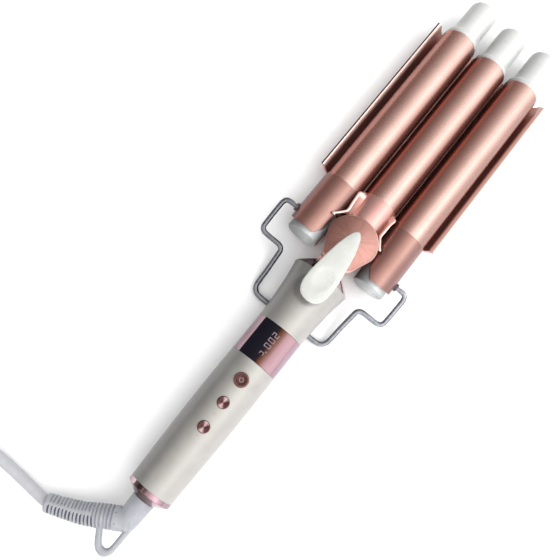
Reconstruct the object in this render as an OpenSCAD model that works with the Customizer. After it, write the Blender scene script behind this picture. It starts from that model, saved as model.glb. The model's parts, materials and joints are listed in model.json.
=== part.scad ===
// Three-barrel hair waver with a thumb lever, digital display, three keys,
// folding wire stand, swivel lead with hanging eye, and a stored mains lead.
// Frame: lying on its back on z = 0, +Y towards the cool tips, +Z out of the
// display side, X = 0 the plane of symmetry. Millimetres.

/* [Barrels] */
// Outside diameter of each heated barrel
barrel_d = 25; // [24:0.1:25.2]
// Distance between neighbouring barrel axes
pitch = 26.5; // [26.4:0.1:27]
// Wall thickness of a barrel tube
barrel_wall = 1.2; // [0.8:0.1:1.4]
// Diameter of the cool finger at the end of each barrel
finger_d = 19.8; // [16:0.2:20]

/* [Handle] */
// Largest radius of the handle
grip_r = 16; // [15.8:0.1:16.2]
// Wall thickness of the plastic shells
shell_t = 1.8; // [1.5:0.1:2]
// Diameter of the power key
power_d = 9; // [8:0.1:9.4]
// Diameter of the plus and minus keys
step_d = 7.4; // [6.5:0.1:8]
// How far a key travels
key_travel = 0.5; // [0.3:0.05:0.5]

/* [Clamp] */
// Radius of the hinge pin
pin_r = 1.5; // [1.3:0.05:1.8]
// Height of the hinge axis above the table
pin_z = 20; // [19.5:0.5:20]

/* [Stand] */
// Diameter of the stand wire
wire_d = 3.4; // [3:0.1:3.5]
// Angle of the folded stand to the tool's axis
stand_tilt = 14; // [13.8:0.1:14.2]

/* [Lead] */
// Diameter of the mains lead
lead_d = 7; // [6.6:0.1:7.2]
// Diameter of each plug pin
plug_pin_d = 4; // [3.9:0.05:4.1]

/* [Hidden] */

// every y below is measured from the waist; the whole part then moves by y_shift
y_shift = 4;
zc = 16;                    // height of the handle and barrel axes
R = barrel_d/2;
Ri = R - barrel_wall;
collar_r = 13.1;
eps = 0.02;
$fn = 96;

rose = [0.78, 0.55, 0.52];
pearl = [0.90, 0.88, 0.86];
lilac = [0.80, 0.80, 0.85];
steel = [0.62, 0.63, 0.66];
dark = [0.12, 0.12, 0.13];

// ---------- helpers ----------
// revolve a (radius, y) outline about an axis along Y through x, z
module yrev(x = 0, z = zc) translate([x, 0, z]) rotate([-90, 0, 0]) rotate_extrude() children();
module ycyl(r, y0, y1, x = 0, z = zc) translate([x, y0, z]) rotate([-90, 0, 0]) cylinder(r = r, h = y1 - y0);
module xcyl(r, x0, x1, y, z) translate([x0, y, z]) rotate([0, 90, 0]) cylinder(r = r, h = x1 - x0);
module zcyl(r, z0, z1, x, y) translate([x, y, z0]) cylinder(r = r, h = z1 - z0);
module box(a, b) translate(a) cube(b - a);
// prism along Y of an (x, z) outline
module yprism(y0, y1) translate([0, y1, 0]) rotate([90, 0, 0]) linear_extrude(y1 - y0) children();
// prism along X of a (y, z) outline
module xprism(x0, x1) translate([x0, 0, 0]) rotate([90, 0, 90]) linear_extrude(x1 - x0) children();
// thin elliptic section square to Y
module sec(y, rx, z, rz) translate([0, y, z]) rotate([90, 0, 0]) scale([rx, rz, 1]) cylinder(r = 1, h = eps, center = true, $fn = 40);
module mirrored() { children(); mirror([1, 0, 0]) children(); }

function unit(v) = v / norm(v);
function lerp(a, b, t) = a + (b - a) * t;
// tangent at point i of a route
function tang(p, i) = i == 0 ? unit(p[1] - p[0]) : i == len(p) - 1 ? unit(p[i] - p[i-1]) : unit(unit(p[i+1] - p[i]) + unit(p[i] - p[i-1]));
// ring of n points round route point i
function ring(p, r, i, n) = let(t = tang(p, i), a = unit(cross(t, [0, 0, 1])), b = cross(a, t))
  [for (k = [0:n-1]) p[i] + r[i] * (cos(360*k/n) * a + sin(360*k/n) * b)];
module sweep(p, r, n = 10) {
  m = len(p);
  pts = [for (i = [0:m-1]) each ring(p, r, i, n)];
  sides = [for (i = [0:m-2], k = [0:n-1]) let(a = i*n + k, b = i*n + (k+1)%n) each [[a, b, a+n], [b, b+n, a+n]]];
  ends = [[for (k = [n-1:-1:0]) k], [for (k = [0:n-1]) (m-1)*n + k]];
  polyhedron(points = pts, faces = concat(sides, ends), convexity = 6);
}
// uniform B-spline-like smoothing: a Catmull-Rom route through hand-chosen points
function cr(p, i, t) = let(n = len(p), a = p[max(i-1, 0)], b = p[i], c = p[min(i+1, n-1)], d = p[min(i+2, n-1)])
  0.5 * (2*b + (c - a)*t + (2*a - 5*b + 4*c - d)*t*t + (3*b - a - 3*c + d)*t*t*t);
function route(p, k) = concat([for (i = [0:len(p)-2], j = [0:k-1]) cr(p, i, j/k)], [p[len(p)-1]]);
function same(v, n) = [for (i = [1:n]) v];

// ---------- handle ----------
grip = [[15.8, -78.3], [grip_r - 0.05, -90], [grip_r, -100], [grip_r - 0.1, -112], [15.7, -127], [15.1, -150], [14.5, -171.1]];
module grip_solid(off = 0, ext = 0) yrev() polygon(concat([[0, -78.3 + ext]], [[grip[0][0] - off, -78.3 + ext]],
  [for (g = grip) [g[0] - off, g[1]]], [[grip[6][0] - off, -171.1 - ext]], [[0, -171.1 - ext]]));
power_y = -91; plus_y = -107.5; minus_y = -125;
module handle_front_shell() color(pearl) difference() {
  intersection() { grip_solid(); box([-40, -200, zc], [40, 0, 60]); }
  grip_solid(shell_t, 0.1);
  zcyl(power_d/2 + 0.12, 20, 40, 0, power_y);
  for (y = [plus_y, minus_y]) zcyl(step_d/2 + 0.12, 20, 40, 0, y);
}
screw_y = [-98, -140];
module handle_back_shell() color(pearl) difference() {
  union() {
    difference() {
      intersection() { grip_solid(); box([-40, -200, -1], [40, 0, zc]); }
      grip_solid(shell_t, 0.1);
    }
    intersection() { grip_solid(0.4); for (y = screw_y) zcyl(3.6, 0, 15.1, 0, y); }
  }
  for (y = screw_y) { zcyl(2.7, -1, 3, 0, y); zcyl(1.35, 0, 16, 0, y); }
}
module head_outer() {
  hull() { sec(-52.4, 15.8, zc, 15.8); sec(-42, 16.2, zc, 15.9); }
  hull() { sec(-42, 16.2, zc, 15.9); sec(-25, 17.6, zc, 15.9); }
  hull() { sec(-25, 17.6, zc, 15.9); sec(-11.4, 19.8, zc, 15.9); }
}
module head_inner() {
  hull() { sec(-52.6, 14, zc, 14); sec(-42, 14.3, zc, 14); }
  hull() { sec(-42, 14.3, zc, 14); sec(-25, 15.7, zc, 14); }
  hull() { sec(-25, 15.7, zc, 14); sec(-11.2, 18, zc, 14); }
}
module head_front_shell() color(pearl) difference() {
  intersection() { head_outer(); box([-40, -60, zc], [40, 0, 60]); }
  head_inner();
}
cross_y = 15.5 - 59*cos(stand_tilt);   // stand crossbar
cross_z = zc - 59*sin(stand_tilt);
module head_back_shell() color(pearl) difference() {
  intersection() { head_outer(); box([-40, -60, -1], [40, 0, zc]); }
  difference() {
    head_inner();
    box([-16, cross_y - 4.5, -1], [16, cross_y + 4.5, cross_z + 4.2]);
    zcyl(3.6, -1, 2.9, 0, -30);
  }
  xcyl(wire_d/2 + 0.6, -30, 30, cross_y, cross_z);
  box([-30, cross_y - wire_d/2 - 0.6, -3], [30, cross_y + wire_d/2 + 0.6, cross_z]);
  zcyl(2.7, -1, 1.6, 0, -30);
  zcyl(1.35, 0, 6, 0, -30);
}
// the band is a ring open at the front; the lens fills its gap
module band_ring() yrev() polygon([[14, -78.2], [15.8, -78.2], [15.8, -52.5], [14, -52.5]]);
module display_band() color(rose) difference() {
  band_ring();
  box([-11.9, -80, zc], [11.9, -50, 40]);
}
module display_lens() color(dark) intersection() {
  yrev() polygon([[14.1, -78.1], [15.7, -78.1], [15.7, -52.6], [14.1, -52.6]]);
  box([-11.8, -80, zc], [11.8, -50, 40]);
}
module display_module() color("dimgray") {
  box([-8, -75, 23.2], [8, -56, 26.9]);
}
module control_board() color("darkgreen") difference() {
  box([-11, -150, 21.8], [11, -55, 23.2]);
  for (x = [-9, 9], y = [-144, -84]) zcyl(1.1, 20, 25, x, y);
}
module key_switches() color("gray") for (y = [power_y, plus_y, minus_y]) {
  box([-3, y - 3, 23.2], [3, y + 3, 26.6]);
  zcyl(1.6, 26.5, 27.3, 0, y);
}
module chassis() color("gainsboro") difference() {
  union() {
    box([-12.6, -160, 15.2], [12.6, -24, 17.2]);
    for (x = [-9, 9], y = [-144, -84]) { zcyl(2, 17, 21.8, x, y); zcyl(1, 21, 23.2, x, y); }
    for (x = [-9, 9]) zcyl(2, 17, 21.8, x, -59);
  }
  for (y = screw_y) zcyl(1.2, 15, 18, 0, y);
  box([-7, -80, 14], [7, -62, 18]);
}
module shell_screws() color(steel) {
  for (y = screw_y) { zcyl(2.5, 1.4, 3, 0, y); zcyl(1.2, 2.9, 15.15, 0, y); }
  zcyl(2.5, 0.4, 1.6, 0, -30); zcyl(1.2, 1.5, 8, 0, -30);
}
module tail_ring() color(rose) yrev() polygon([[14.6, -171.15], [14.6, -173.9], [14.2, -174.4], [7.6, -178.3], [7.2, -178.5],
  [5.05, -178.5], [5.05, -175.6], [8.4, -175.6], [11.2, -172.8], [11.2, -166.2], [12.5, -166.2], [12.5, -171.15]]);

// ---------- rear jaw ----------
hinge_y = -1;
frame_xy = [[-8.5, -11.3], [-8.5, 9], [-10, 13], [-14, 15.8], [-34, 15.8], [-36.6, 18.4], [-36.6, 43.6], [-34.2, 46],
  [34.2, 46], [36.6, 43.6], [36.6, 18.4], [34, 15.8], [14, 15.8], [10, 13], [8.5, 9], [8.5, -11.3]];
frame_bolts = [[26.5, 19.2], [26.5, 25.2]];
module rear_frame() color(rose) difference() {
  union() {
    linear_extrude(2.4) polygon(frame_xy);
    // neck: a tongue inside the head that thins out under the hub
    xprism(-8.5, 8.5) polygon([[-11.3, 1.4], [-11.3, 12], [0, 11.5], [4, 9.5], [9, 6.2], [16, 2.4], [16, 1], [-9, 1]]);
    xprism(-5.6, 5.6) polygon([[-36.5, 3.6], [-36.5, 10], [-20, 10], [-11, 12], [-11, 3.6]]);
    // cup behind the hinge and the sleeve that holds it in the head
    difference() {
      union() {
        hull() { sec(-11.3, 19.5, zc, 15.4); sec(-9, 17.6, zc, 14.8); sec(-2.2, 9.8, zc, 12.4); }
        hull() { sec(-21, 15.9, zc, 13.5); sec(-11.2, 17.5, zc, 13.5); }
      }
      hull() { sec(-11.4, 18, zc, 13.9); sec(-9, 16.2, zc, 13.4); sec(-3, 9, zc, 11.2); }
      hull() { sec(-21.1, 14.4, zc, 12); sec(-11.1, 16, zc, 12); }
      box([-30, -11.25, 17.3], [30, 0, 60]);
    }
    // two hinge ears
    mirrored() hull() { xcyl(5.4, 6.7, 9.6, hinge_y, pin_z); xcyl(3, 6.7, 8.5, -6, 11.5); }
  }
  // slot for the knuckle and the underside of the hub
  box([-6.5, -12, 11.9], [6.5, 12, 60]);
  box([-6.5, -9.5, 12.2], [6.5, 12, 60]);
  translate([0, 0, 0]) box([-20, 4.6, 11.6], [20, 20, 60]);
  xcyl(pin_r, -12, 12, hinge_y, pin_z);
  zcyl(1.2, 2, 8, 0, -30);
  for (b = frame_bolts) mirrored() { zcyl(1.45, -1, 4, b[0], b[1]); zcyl(2.8, -1, 1.3, b[0], b[1]); }
}
module hinge_pin() color(steel) xcyl(pin_r, -9.5, 9.5, hinge_y, pin_z);
module clamp_spring() color(steel) {
  // torsion spring: turns round the pin beside the knuckle
  translate([0, hinge_y, pin_z]) rotate([0, 90, 0]) for (k = [0:3]) translate([0, 0, 2.2 + k*1.05]) rotate_extrude($fn = 48) translate([2.45, 0]) circle(r = 0.5, $fn = 24);
}

// inner face of the back plate, from the middle trough to the wing's edge
plate_in = concat([for (a = [0:8:48]) [14.4*sin(a), zc - 14.4*cos(a)]], [[12, 7.5], [13.25, 7.9], [14.5, 7.5]],
  [for (a = [48:-8:0]) [pitch - 14.4*sin(a), zc - 14.4*cos(a)]], [for (a = [8:8:80]) [pitch + 18*sin(a), 19.6 - 18*cos(a)]]);
function nrm(p, i) = let(a = p[max(i-1, 0)], b = p[min(i+1, len(p)-1)], d = unit(b - a)) i == 0 ? [0, -1] : [d[1], -d[0]];
plate_t = 1.6;
plate_out = [for (i = [len(plate_in)-1:-1:0]) plate_in[i] + plate_t*nrm(plate_in, i)];
plate_half = concat(plate_in, plate_out);
function flipx(p) = [for (i = [len(p)-1:-1:0]) [-p[i][0], p[i][1]]];
// one closed outline: right inner face, right outer face, left outer face, left inner face
plate_xz = concat(plate_in, plate_out, [for (i = [len(plate_out)-2:-1:0]) [-plate_out[i][0], plate_out[i][1]]], [for (i = [len(plate_in)-1:-1:1]) [-plate_in[i][0], plate_in[i][1]]]);
module back_plate() color(rose) difference() {
  union() {
    yprism(48.7, 178.8) polygon(plate_xz);
    mirrored() box([19, 16.5, 2.4], [34, 51.5, 3.5]);
  }
  for (b = frame_bolts) mirrored() zcyl(1.45, 0, 5, b[0], b[1]);
}
module frame_screws() color(steel) for (b = frame_bolts) mirrored() { zcyl(2.6, 0.2, 1.3, b[0], b[1]); zcyl(1.4, 1.2, 4.4, b[0], b[1]); }

module outer_collar(x) {
  s = x > 0 ? 1 : -1;
  difference() {
    union() {
      ycyl(collar_r, 5.5, 44.2, x);
      box([x - 7, 13, 3.5], [x + 7, 44.2, 8]);
    }
    ycyl(R + 0.05, 28, 45, x);
    ycyl(11.05, 5, 29, x);
    box([x - 20, 0, -5], [x + 20, 50, 3.5]);
    // lower end leans back towards the tail at the top
    translate([x - 20, 5.5, zc + collar_r]) rotate([14.5, 0, 0]) translate([0, -30, -45]) cube([40, 30, 50]);
    // inner lower corner is cut away on the slant
    linear_extrude(60) polygon([[s*17.8, 25], [s*17.8, 20], [s*18.6, 12.8], [s*22.7, 5.5], [s*22.7, 5], [s*9, 5], [s*9, 25]]);
    for (b = frame_bolts) zcyl(1.45, 3, 4.6, s*b[0], b[1]);
    xcyl(wire_d/2 - 0.15, min(x, x + s*14), max(x, x + s*14), 15.5, zc);
  }
}
module left_collar() color(rose) outer_collar(-pitch);
module right_collar() color(rose) outer_collar(pitch);
module base_plug(x) yrev(x) polygon([[0, 3], [10.4, 3], [11, 3.6], [11, 40], [9.6, 40], [9.6, 9], [0, 9]]);
module left_base_plug() color(pearl) base_plug(-pitch);
module right_base_plug() color(pearl) base_plug(pitch);
module barrel(x, y0, y1) yrev(x) polygon([[Ri, y0], [R, y0], [R, y1 - 0.9], [R - 0.25, y1 - 0.3], [R - 0.9, y1], [10.4, y1], [10.4, y1 - 1.6], [Ri, y1 - 1.6]]);
outer_end = 175.8; mid_end = 174.2;
module left_barrel() color(rose) barrel(-pitch, 28.1, outer_end);
module right_barrel() color(rose) barrel(pitch, 28.1, outer_end);
module tip(x, y1, top) yrev(x) polygon(concat([[0, y1 - 10], [10.3, y1 - 10], [10.3, y1 + 0.02], [R - 0.6, y1 + 0.02], [R - 0.4, y1 + 0.6], [R - 0.5, y1 + 2],
  [R - 0.9, y1 + 2.8], [R - 1.7, y1 + 4.2], [finger_d/2 + 0.35, y1 + 6.2], [finger_d/2 + 0.05, y1 + 8.5], [finger_d/2, y1 + 10]], [for (a = [0:10:90]) [finger_d/2*pow(cos(a), 0.8), top - 6 + 6*sin(a)]]));
module left_tip() color(pearl) tip(-pitch, outer_end, 209.4);
module right_tip() color(pearl) tip(pitch, outer_end, 209.4);
// ceramic heater bar held by two round spacers
module heater(x, y0, y1) {
  ycyl(Ri - 0.1, y0, y0 + 4, x); ycyl(Ri - 0.1, y1 - 4, y1, x);
  box([x - 6, y0 + 3.9, zc - 2], [x + 6, y1 - 3.9, zc + 2]);
}
module left_heater() color("gray") heater(-pitch, 46, 160);
module right_heater() color("gray") heater(pitch, 46, 160);
module stand_bosses() color(rose) mirrored() difference() {
  xcyl(2.7, pitch + 11.5, pitch + 14.6, 15.5, zc);
  ycyl(collar_r, 0, 30, pitch);
  xcyl(wire_d/2 - 0.15, pitch + 10, pitch + 17, 15.5, zc);
}

// ---------- clamp ----------
// underside of the lever, where it beds on the hub
lever_top = [[23.4, 32.4], [22.6, 33.4], [14.6, 36.4], [8, 38.3], [1.2, 39.8], [-5, 40.8], [-11, 40.9], [-17, 40.5], [-23, 40.8], [-28, 41.9], [-31.2, 43], [-32.1, 42.8]];
lever_under = [[-32.1, 41.6], [-28, 39.9], [-20, 38.3], [-10, 37.6], [0, 36.6], [1.5, 35], [8, 34.2], [14.6, 33.1], [23.4, 31]];
lever_plan = [[0, 23.4], [1.8, 22.9], [3.2, 21.4], [5.2, 14.6], [6.6, 8], [7.5, 1.2], [8.3, -5], [8.9, -11.2], [9.4, -17.3], [9.2, -23.3], [8.2, -27], [6.5, -29.8], [3.5, -31.6], [0, -32.1]];
lever_xy = concat(lever_plan, [for (i = [len(lever_plan)-2:-1:1]) [-lever_plan[i][0], lever_plan[i][1]]]);
lever_bolts = [[0, 9], [0, 15]];
module thumb_lever() color(pearl) difference() {
  intersection() {
    linear_extrude(60) polygon(lever_xy);
    xprism(-12, 12) polygon(concat(lever_top, lever_under));
  }
  // thumb dish
  translate([0, -16, 70]) sphere(r = 30.3, $fn = 96);
  for (b = lever_bolts) zcyl(1.25, 30, 35.6, b[0], b[1]);
}
module clamp_hub() color(rose) difference() {
  union() {
    // dome in front of the barrels
    hull() { sec(-0.7, 8.6, 27.6, 5.4); sec(0, 10.4, 27, 6.6); sec(4, 12, 26.2, 7.9); sec(8.4, 12.9, 26.6, 7.8); }
    hull() { sec(8.4, 12.9, 26.6, 7.8); sec(14, 15.2, 27.2, 7); sec(18.5, 17.2, 27.6, 5.8); sec(23, 16.6, 28, 4.6); sec(33.2, 7.6, 27.4, 2.2); }
    hull() { sec(-2.4, 9.4, 29.4, 3.2); sec(3.3, 12.2, 28.8, 4.6); sec(6, 13.2, 28.6, 5); }
    hull() { sec(6, 13.2, 28.6, 5); sec(10.7, 15.1, 28.4, 5.2); sec(15, 16.6, 28, 5.4); sec(18.5, 17.2, 27.6, 5.8); }
    // body behind the dome, as wide as a barrel
    hull() { sec(3.6, 9.2, 20.5, 7); sec(20, 12.7, zc, 12.7); }
    hull() { sec(20, 12.7, zc, 12.7); sec(33.2, 12.8, zc, 12.8); }
    // knuckle
    xcyl(6, -6.3, 6.3, hinge_y, pin_z);
    box([-6.3, -1, 14.5], [6.3, 6, 34]);
    // flared lips over the outer collars
    translate([0, 0, 28.1]) linear_extrude(1.4) {
      polygon([[9, 33.2], [12.8, 33.2], [13.4, 30.6], [17.5, 24.2], [16.4, 21.6], [9, 20.8]]);
      polygon([[-9, 33.2], [-9, 20.8], [-19.6, 21.6], [-20.7, 24.2], [-15.4, 30.8], [-14.6, 33.2]]);
    }
    // spigot inside the middle barrel
    ycyl(Ri - 0.1, 33, 42);
  }
  // room for the ears
  mirrored() xcyl(6.1, 6.3, 20, hinge_y, pin_z);
  xcyl(pin_r + 0.06, -8, 8, hinge_y, pin_z);
  // pocket for the spring
  xcyl(3.3, 1.4, 6.4, hinge_y, pin_z);
  // seat of the lever
  intersection() {
    linear_extrude(60) polygon(lever_xy);
    xprism(-12, 12) polygon(concat([[24, 60], [-33, 60]], lever_under, [[24, 30.9]]));
  }
  for (b = lever_bolts) { zcyl(1.3, 20, 40, b[0], b[1]); zcyl(2.4, -1, 24, b[0], b[1]); }
}
module lever_screws() color(steel) for (b = lever_bolts) { zcyl(2.2, 22.2, 24, b[0], b[1]); zcyl(1.2, 23.9, 35.5, b[0], b[1]); }
// cross-section of a flange wall beside the lever
module fin(y, x, xt, top) let(f = min(25.4, top - 0.4)) yprism(y - 0.1, y) polygon([[x - 2.4, 18.8], [x - 1.1, 18.8], [x, min(22.4, f - 1)], [xt, f], [xt, top], [xt - 1.7, top], [x - 2.1, 20.5]]);
module flange(a, b) {
  hull() { fin(33.3, a, b, 27.6); fin(46.3, a + 1, b + 1, 26.4); }
  hull() { fin(46.3, a + 1, b + 1, 26.4); fin(49.8, a - 0.7, b - 1.6, 22.6); }
}
module middle_collar() color(rose) difference() {
  union() {
    ycyl(13, 33.3, 50.4);
    flange(12.2, 12.8);
    mirror([1, 0, 0]) flange(12.9, 14.9);
  }
  ycyl(R + 0.05, 33, 51);
}
module middle_barrel() color(rose) barrel(0, 33.3, mid_end);
module middle_heater() color("gray") heater(0, 46, 158);
module middle_tip() color(pearl) tip(0, mid_end, 208.2);

// ---------- stand ----------
wr = wire_d/2;
// half of the bail in its own plane: x and distance from the pivot
bail = [[-43.4, 0], [-46, 0], [-48.1, 0.8], [-49, 2.8], [-49.2, 6], [-49.2, 20], [-48.7, 23.2], [-46.8, 24.9], [-43.6, 25.4], [-35.4, 25.5], [-32.6, 26.1], [-31.1, 27.8], [-30.7, 30.6],
  [-29.8, 42], [-29.2, 52], [-28.4, 55.6], [-26.4, 58], [-23, 59], [-10, 59]];
bail_all = concat(bail, [for (i = [len(bail)-1:-1:0]) [-bail[i][0], bail[i][1]]]);
module stand_wire() color(steel) {
  sweep([for (b = bail_all) [b[0], 15.5 - b[1]*cos(stand_tilt), zc - b[1]*sin(stand_tilt)]], same(wr, len(bail_all)), 10);
  mirrored() xcyl(wr - 0.2, 40.2, 44.2, 15.5, zc);
}

// ---------- keys ----------
module key(r, y, top) { zcyl(r, 27.9, top - 0.4, 0, y); translate([0, y, top - 0.41]) cylinder(r1 = r, r2 = r - 0.4, h = 0.41); zcyl(r + 0.8, 27.9, 28.7, 0, y); }
module power_key() color(rose) key(power_d/2, power_y, 32.6);
module plus_key() color(rose) key(step_d/2, plus_y, 32.4);
module minus_key() color(rose) key(step_d/2, minus_y, 32.2);

// ---------- swivel and lead ----------
relief_pts = [[-12, -200.1, 13.4], [-22, -206.3, 11.3], [-32, -210.9, 9.5], [-37.5, -213.2, 8.6], [-42.6, -215.2, 7.7]];
relief_r = [7.1, 6.8, 6.3, 6, 5.7];
relief_dir = unit(relief_pts[1] - relief_pts[0]);
module swivel_elbow() color(lilac) difference() {
  union() {
    yrev() polygon([[0, -178.7], [7.3, -178.7], [6.6, -191.5], [0, -191.5]]);
    ycyl(5, -178.8, -173.7);
    ycyl(7.6, -175.3, -173.7);
    hull() { translate([0, -191.5, zc]) sphere(r = 6.7, $fn = 32); translate(relief_pts[0]) sphere(r = 7.1, $fn = 32); }
    // hanging eye
    translate([0, 0, 13.4]) linear_extrude(4.6) difference() {
      offset(r = 1, $fn = 24) offset(delta = -1) polygon([[-6.4, -190], [5.6, -190], [5.6, -197.6], [5.5, -206], [5.6, -213.4], [4.4, -216.6], [0.6, -217.4], [-2.8, -216.4], [-5.9, -214], [-10.5, -208.6], [-13, -203]]);
      offset(r = 0.8, $fn = 24) offset(delta = -0.8) polygon([[-7.4, -205.6], [-3.4, -212], [-1, -212.9], [0.9, -212.2], [1.8, -209.6], [2.3, -201.6], [1.6, -199.2]]);
    }
  }
  // the face that the strain relief starts from
  translate(relief_pts[0]) rotate([0, 0, atan2(relief_dir[1], relief_dir[0])]) rotate([0, asin(-relief_dir[2]), 0]) translate([0, -12, -12]) cube([30, 19.9, 24]);
  // lead passes through
  ycyl(3.6, -192, -173);
}
module strain_relief() color(lilac) sweep(relief_pts, relief_r, 12);

lead_r = lead_d/2;
coil_c = [-124, -263];
tube_pts = [[-46.4, -215.2, 6.2], [-54, -214.8, 4.9], [-63, -214.4, 4], [-72, -213.9, 3.6], [-82, -213.6, 3.6], [-95, -213.5, 3.7], [-108, -213.7, 4.1]];
module cord_tube() color(lilac) sweep(route(tube_pts, 2), same(lead_r, 13), 10);
coil_in = 24.6; coil_out = 53; coil_top = 52; coil_z = 0.7;
module cord_coil() color(lilac) translate([coil_c[0], coil_c[1], coil_z]) rotate_extrude() polygon([[coil_in, 0.4], [coil_in + 1.2, 0], [coil_out - 1.2, 0],
  [coil_out, 1.2], [coil_out, 6], [coil_top, 8], [coil_top, 12.8], [coil_top - 1.2, 14], [coil_in + 1.2, 14], [coil_in, 12.8]]);
tail_pts = [[-121, -313.2, 8.9], [-111, -313, 8], [-101.5, -310.6, 6.9], [-92.5, -308, 5.3], [-83.5, -304.4, 5.2], [-75, -300.2, 6.2], [-66, -296.5, 6.8]];
module cord_tail() color(lilac) sweep(route(tail_pts, 2), same(lead_r, 13), 10);
tie_a = 115;
module cord_tie() color(dark) translate([coil_c[0], coil_c[1], 0]) rotate([0, 0, tie_a]) translate([0, 4, 0]) rotate([90, 0, 0]) linear_extrude(8) difference() {
  polygon([[coil_in - 1.3, 0], [coil_out + 1.3, 0], [coil_out + 1.3, 8.9], [coil_top + 1.3, 10], [coil_top + 1.3, 15.9], [coil_in - 1.3, 15.9]]);
  polygon([[coil_in - 0.6, 0.65], [coil_out + 0.6, 0.65], [coil_out + 0.6, 8.5], [coil_top + 0.6, 9.6], [coil_top + 0.6, 15.2], [coil_in - 0.6, 15.2]]);
}
// two-pin plug lying flat beside the coil
plug_o = [-66, -296.5, 6.8];
plug_turn = -105;
module plug_frame() translate(plug_o) rotate([0, 0, -plug_turn]) children();
module plug_body() color(lilac) plug_frame() difference() {
  union() {
    hull() { rotate([90, 0, 0]) cylinder(r = 5, h = 1, $fn = 32); translate([0, -14, 0]) rotate([90, 0, 0]) cylinder(r = 6.4, h = 1, $fn = 32); }
    hull() { translate([0, -14, 0]) rotate([90, 0, 0]) cylinder(r = 6.4, h = 1, $fn = 32); mirrored() translate([9.5, -24, 0]) rotate([90, 0, 0]) cylinder(r = 6.6, h = 12, $fn = 32); }
  }
  mirrored() translate([9.4, -26, 0]) rotate([90, 0, 0]) cylinder(r = 1.6, h = 30);
}
module plug_pins() color(steel) plug_frame() mirrored() {
  translate([9.4, -26, 0]) rotate([90, 0, 0]) cylinder(r = 1.6, h = 10.1);
  translate([9.4, -36, 0]) rotate([90, 0, 0]) cylinder(d = plug_pin_d, h = 18);
  translate([9.4, -53.9, 0]) rotate([90, 0, 0]) cylinder(d1 = plug_pin_d, d2 = plug_pin_d - 1.6, h = 1.1);
}

translate([0, y_shift, 0]) {
  handle_front_shell();
  handle_back_shell();
  head_front_shell();
  head_back_shell();
  display_band();
  display_lens();
  display_module();
  control_board();
  key_switches();
  chassis();
  shell_screws();
  tail_ring();
  rear_frame();
  hinge_pin();
  clamp_spring();
  back_plate();
  frame_screws();
  left_collar();
  right_collar();
  left_base_plug();
  right_base_plug();
  left_barrel();
  right_barrel();
  left_heater();
  right_heater();
  left_tip();
  right_tip();
  stand_bosses();
  clamp_hub();
  middle_collar();
  middle_barrel();
  middle_heater();
  middle_tip();
  thumb_lever();
  lever_screws();
  stand_wire();
  power_key();
  plus_key();
  minus_key();
  swivel_elbow();
  strain_relief();
  cord_tube();
  cord_coil();
  cord_tail();
  cord_tie();
  plug_body();
  plug_pins();
}
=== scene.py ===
import bpy, bmesh, json, math
from mathutils import Vector, Matrix


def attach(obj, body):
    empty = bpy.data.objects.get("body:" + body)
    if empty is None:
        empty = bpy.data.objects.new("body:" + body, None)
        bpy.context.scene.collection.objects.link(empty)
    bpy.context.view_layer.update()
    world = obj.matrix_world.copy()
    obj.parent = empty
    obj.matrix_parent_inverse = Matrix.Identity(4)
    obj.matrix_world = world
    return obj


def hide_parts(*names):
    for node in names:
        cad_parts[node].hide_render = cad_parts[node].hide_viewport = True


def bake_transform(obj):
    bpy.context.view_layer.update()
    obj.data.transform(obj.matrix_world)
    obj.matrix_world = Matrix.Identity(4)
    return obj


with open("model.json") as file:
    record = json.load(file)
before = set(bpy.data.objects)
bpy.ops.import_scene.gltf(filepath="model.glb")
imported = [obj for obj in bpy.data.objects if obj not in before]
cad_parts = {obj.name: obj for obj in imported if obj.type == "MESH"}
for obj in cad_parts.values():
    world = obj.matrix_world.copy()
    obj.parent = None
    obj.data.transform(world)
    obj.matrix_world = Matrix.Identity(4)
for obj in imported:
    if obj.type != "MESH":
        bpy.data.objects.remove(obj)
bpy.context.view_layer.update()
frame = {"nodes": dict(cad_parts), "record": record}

N = frame["nodes"]
MM = 0.001
YS = 4.0                      # part.scad's y_shift
ZC = 16.0                     # height of the handle and barrel axes
SCN = bpy.context.scene
pi, sin, cos, sqrt, rad = math.pi, math.sin, math.cos, math.sqrt, math.radians


def V(x, y, z):
    """A point in the waist frame of part.scad, in mm, as a point in the row frame, in metres."""
    return Vector((x * MM, (y + YS) * MM, z * MM))


# ------------------------------------------------------------------ camera
def make_camera():
    tau, roll, dist = rad(10.8), rad(39.25), 423.0
    t = Vector((-19.3, -24.05, 17.0))
    c = t + dist * Vector((0, -sin(tau), cos(tau)))
    vd = Vector((0, sin(tau), -cos(tau)))
    ry = Vector((0, cos(tau), sin(tau)))
    right = Vector((cos(roll), 0, 0)) + sin(roll) * ry
    up = cos(roll) * ry - Vector((sin(roll), 0, 0))
    m = Matrix((right, up, -vd)).transposed().to_4x4()
    m.translation = c * MM
    cam = bpy.data.cameras.new("camera")
    cam.lens = 43.97
    cam.sensor_width = 36.0
    cam.clip_start, cam.clip_end = 0.01, 20.0
    ob = bpy.data.objects.new("camera", cam)
    SCN.collection.objects.link(ob)
    ob.matrix_world = m
    SCN.camera = ob
    return ob


camera = make_camera()
SCN.view_settings.view_transform = "Standard"


# ------------------------------------------------------------------ small helpers
def lerp(a, b, t):
    return a + (b - a) * t


def smooth(t):
    t = max(0.0, min(1.0, t))
    return t * t * (3 - 2 * t)


def table(pts, y):
    """Piecewise linear value at y of [(y, value), ...] in rising or falling order."""
    p = sorted(pts)
    if y <= p[0][0]:
        return p[0][1]
    for (a, u), (b, v) in zip(p, p[1:]):
        if y <= b:
            return lerp(u, v, (y - a) / (b - a))
    return p[-1][1]


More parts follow.
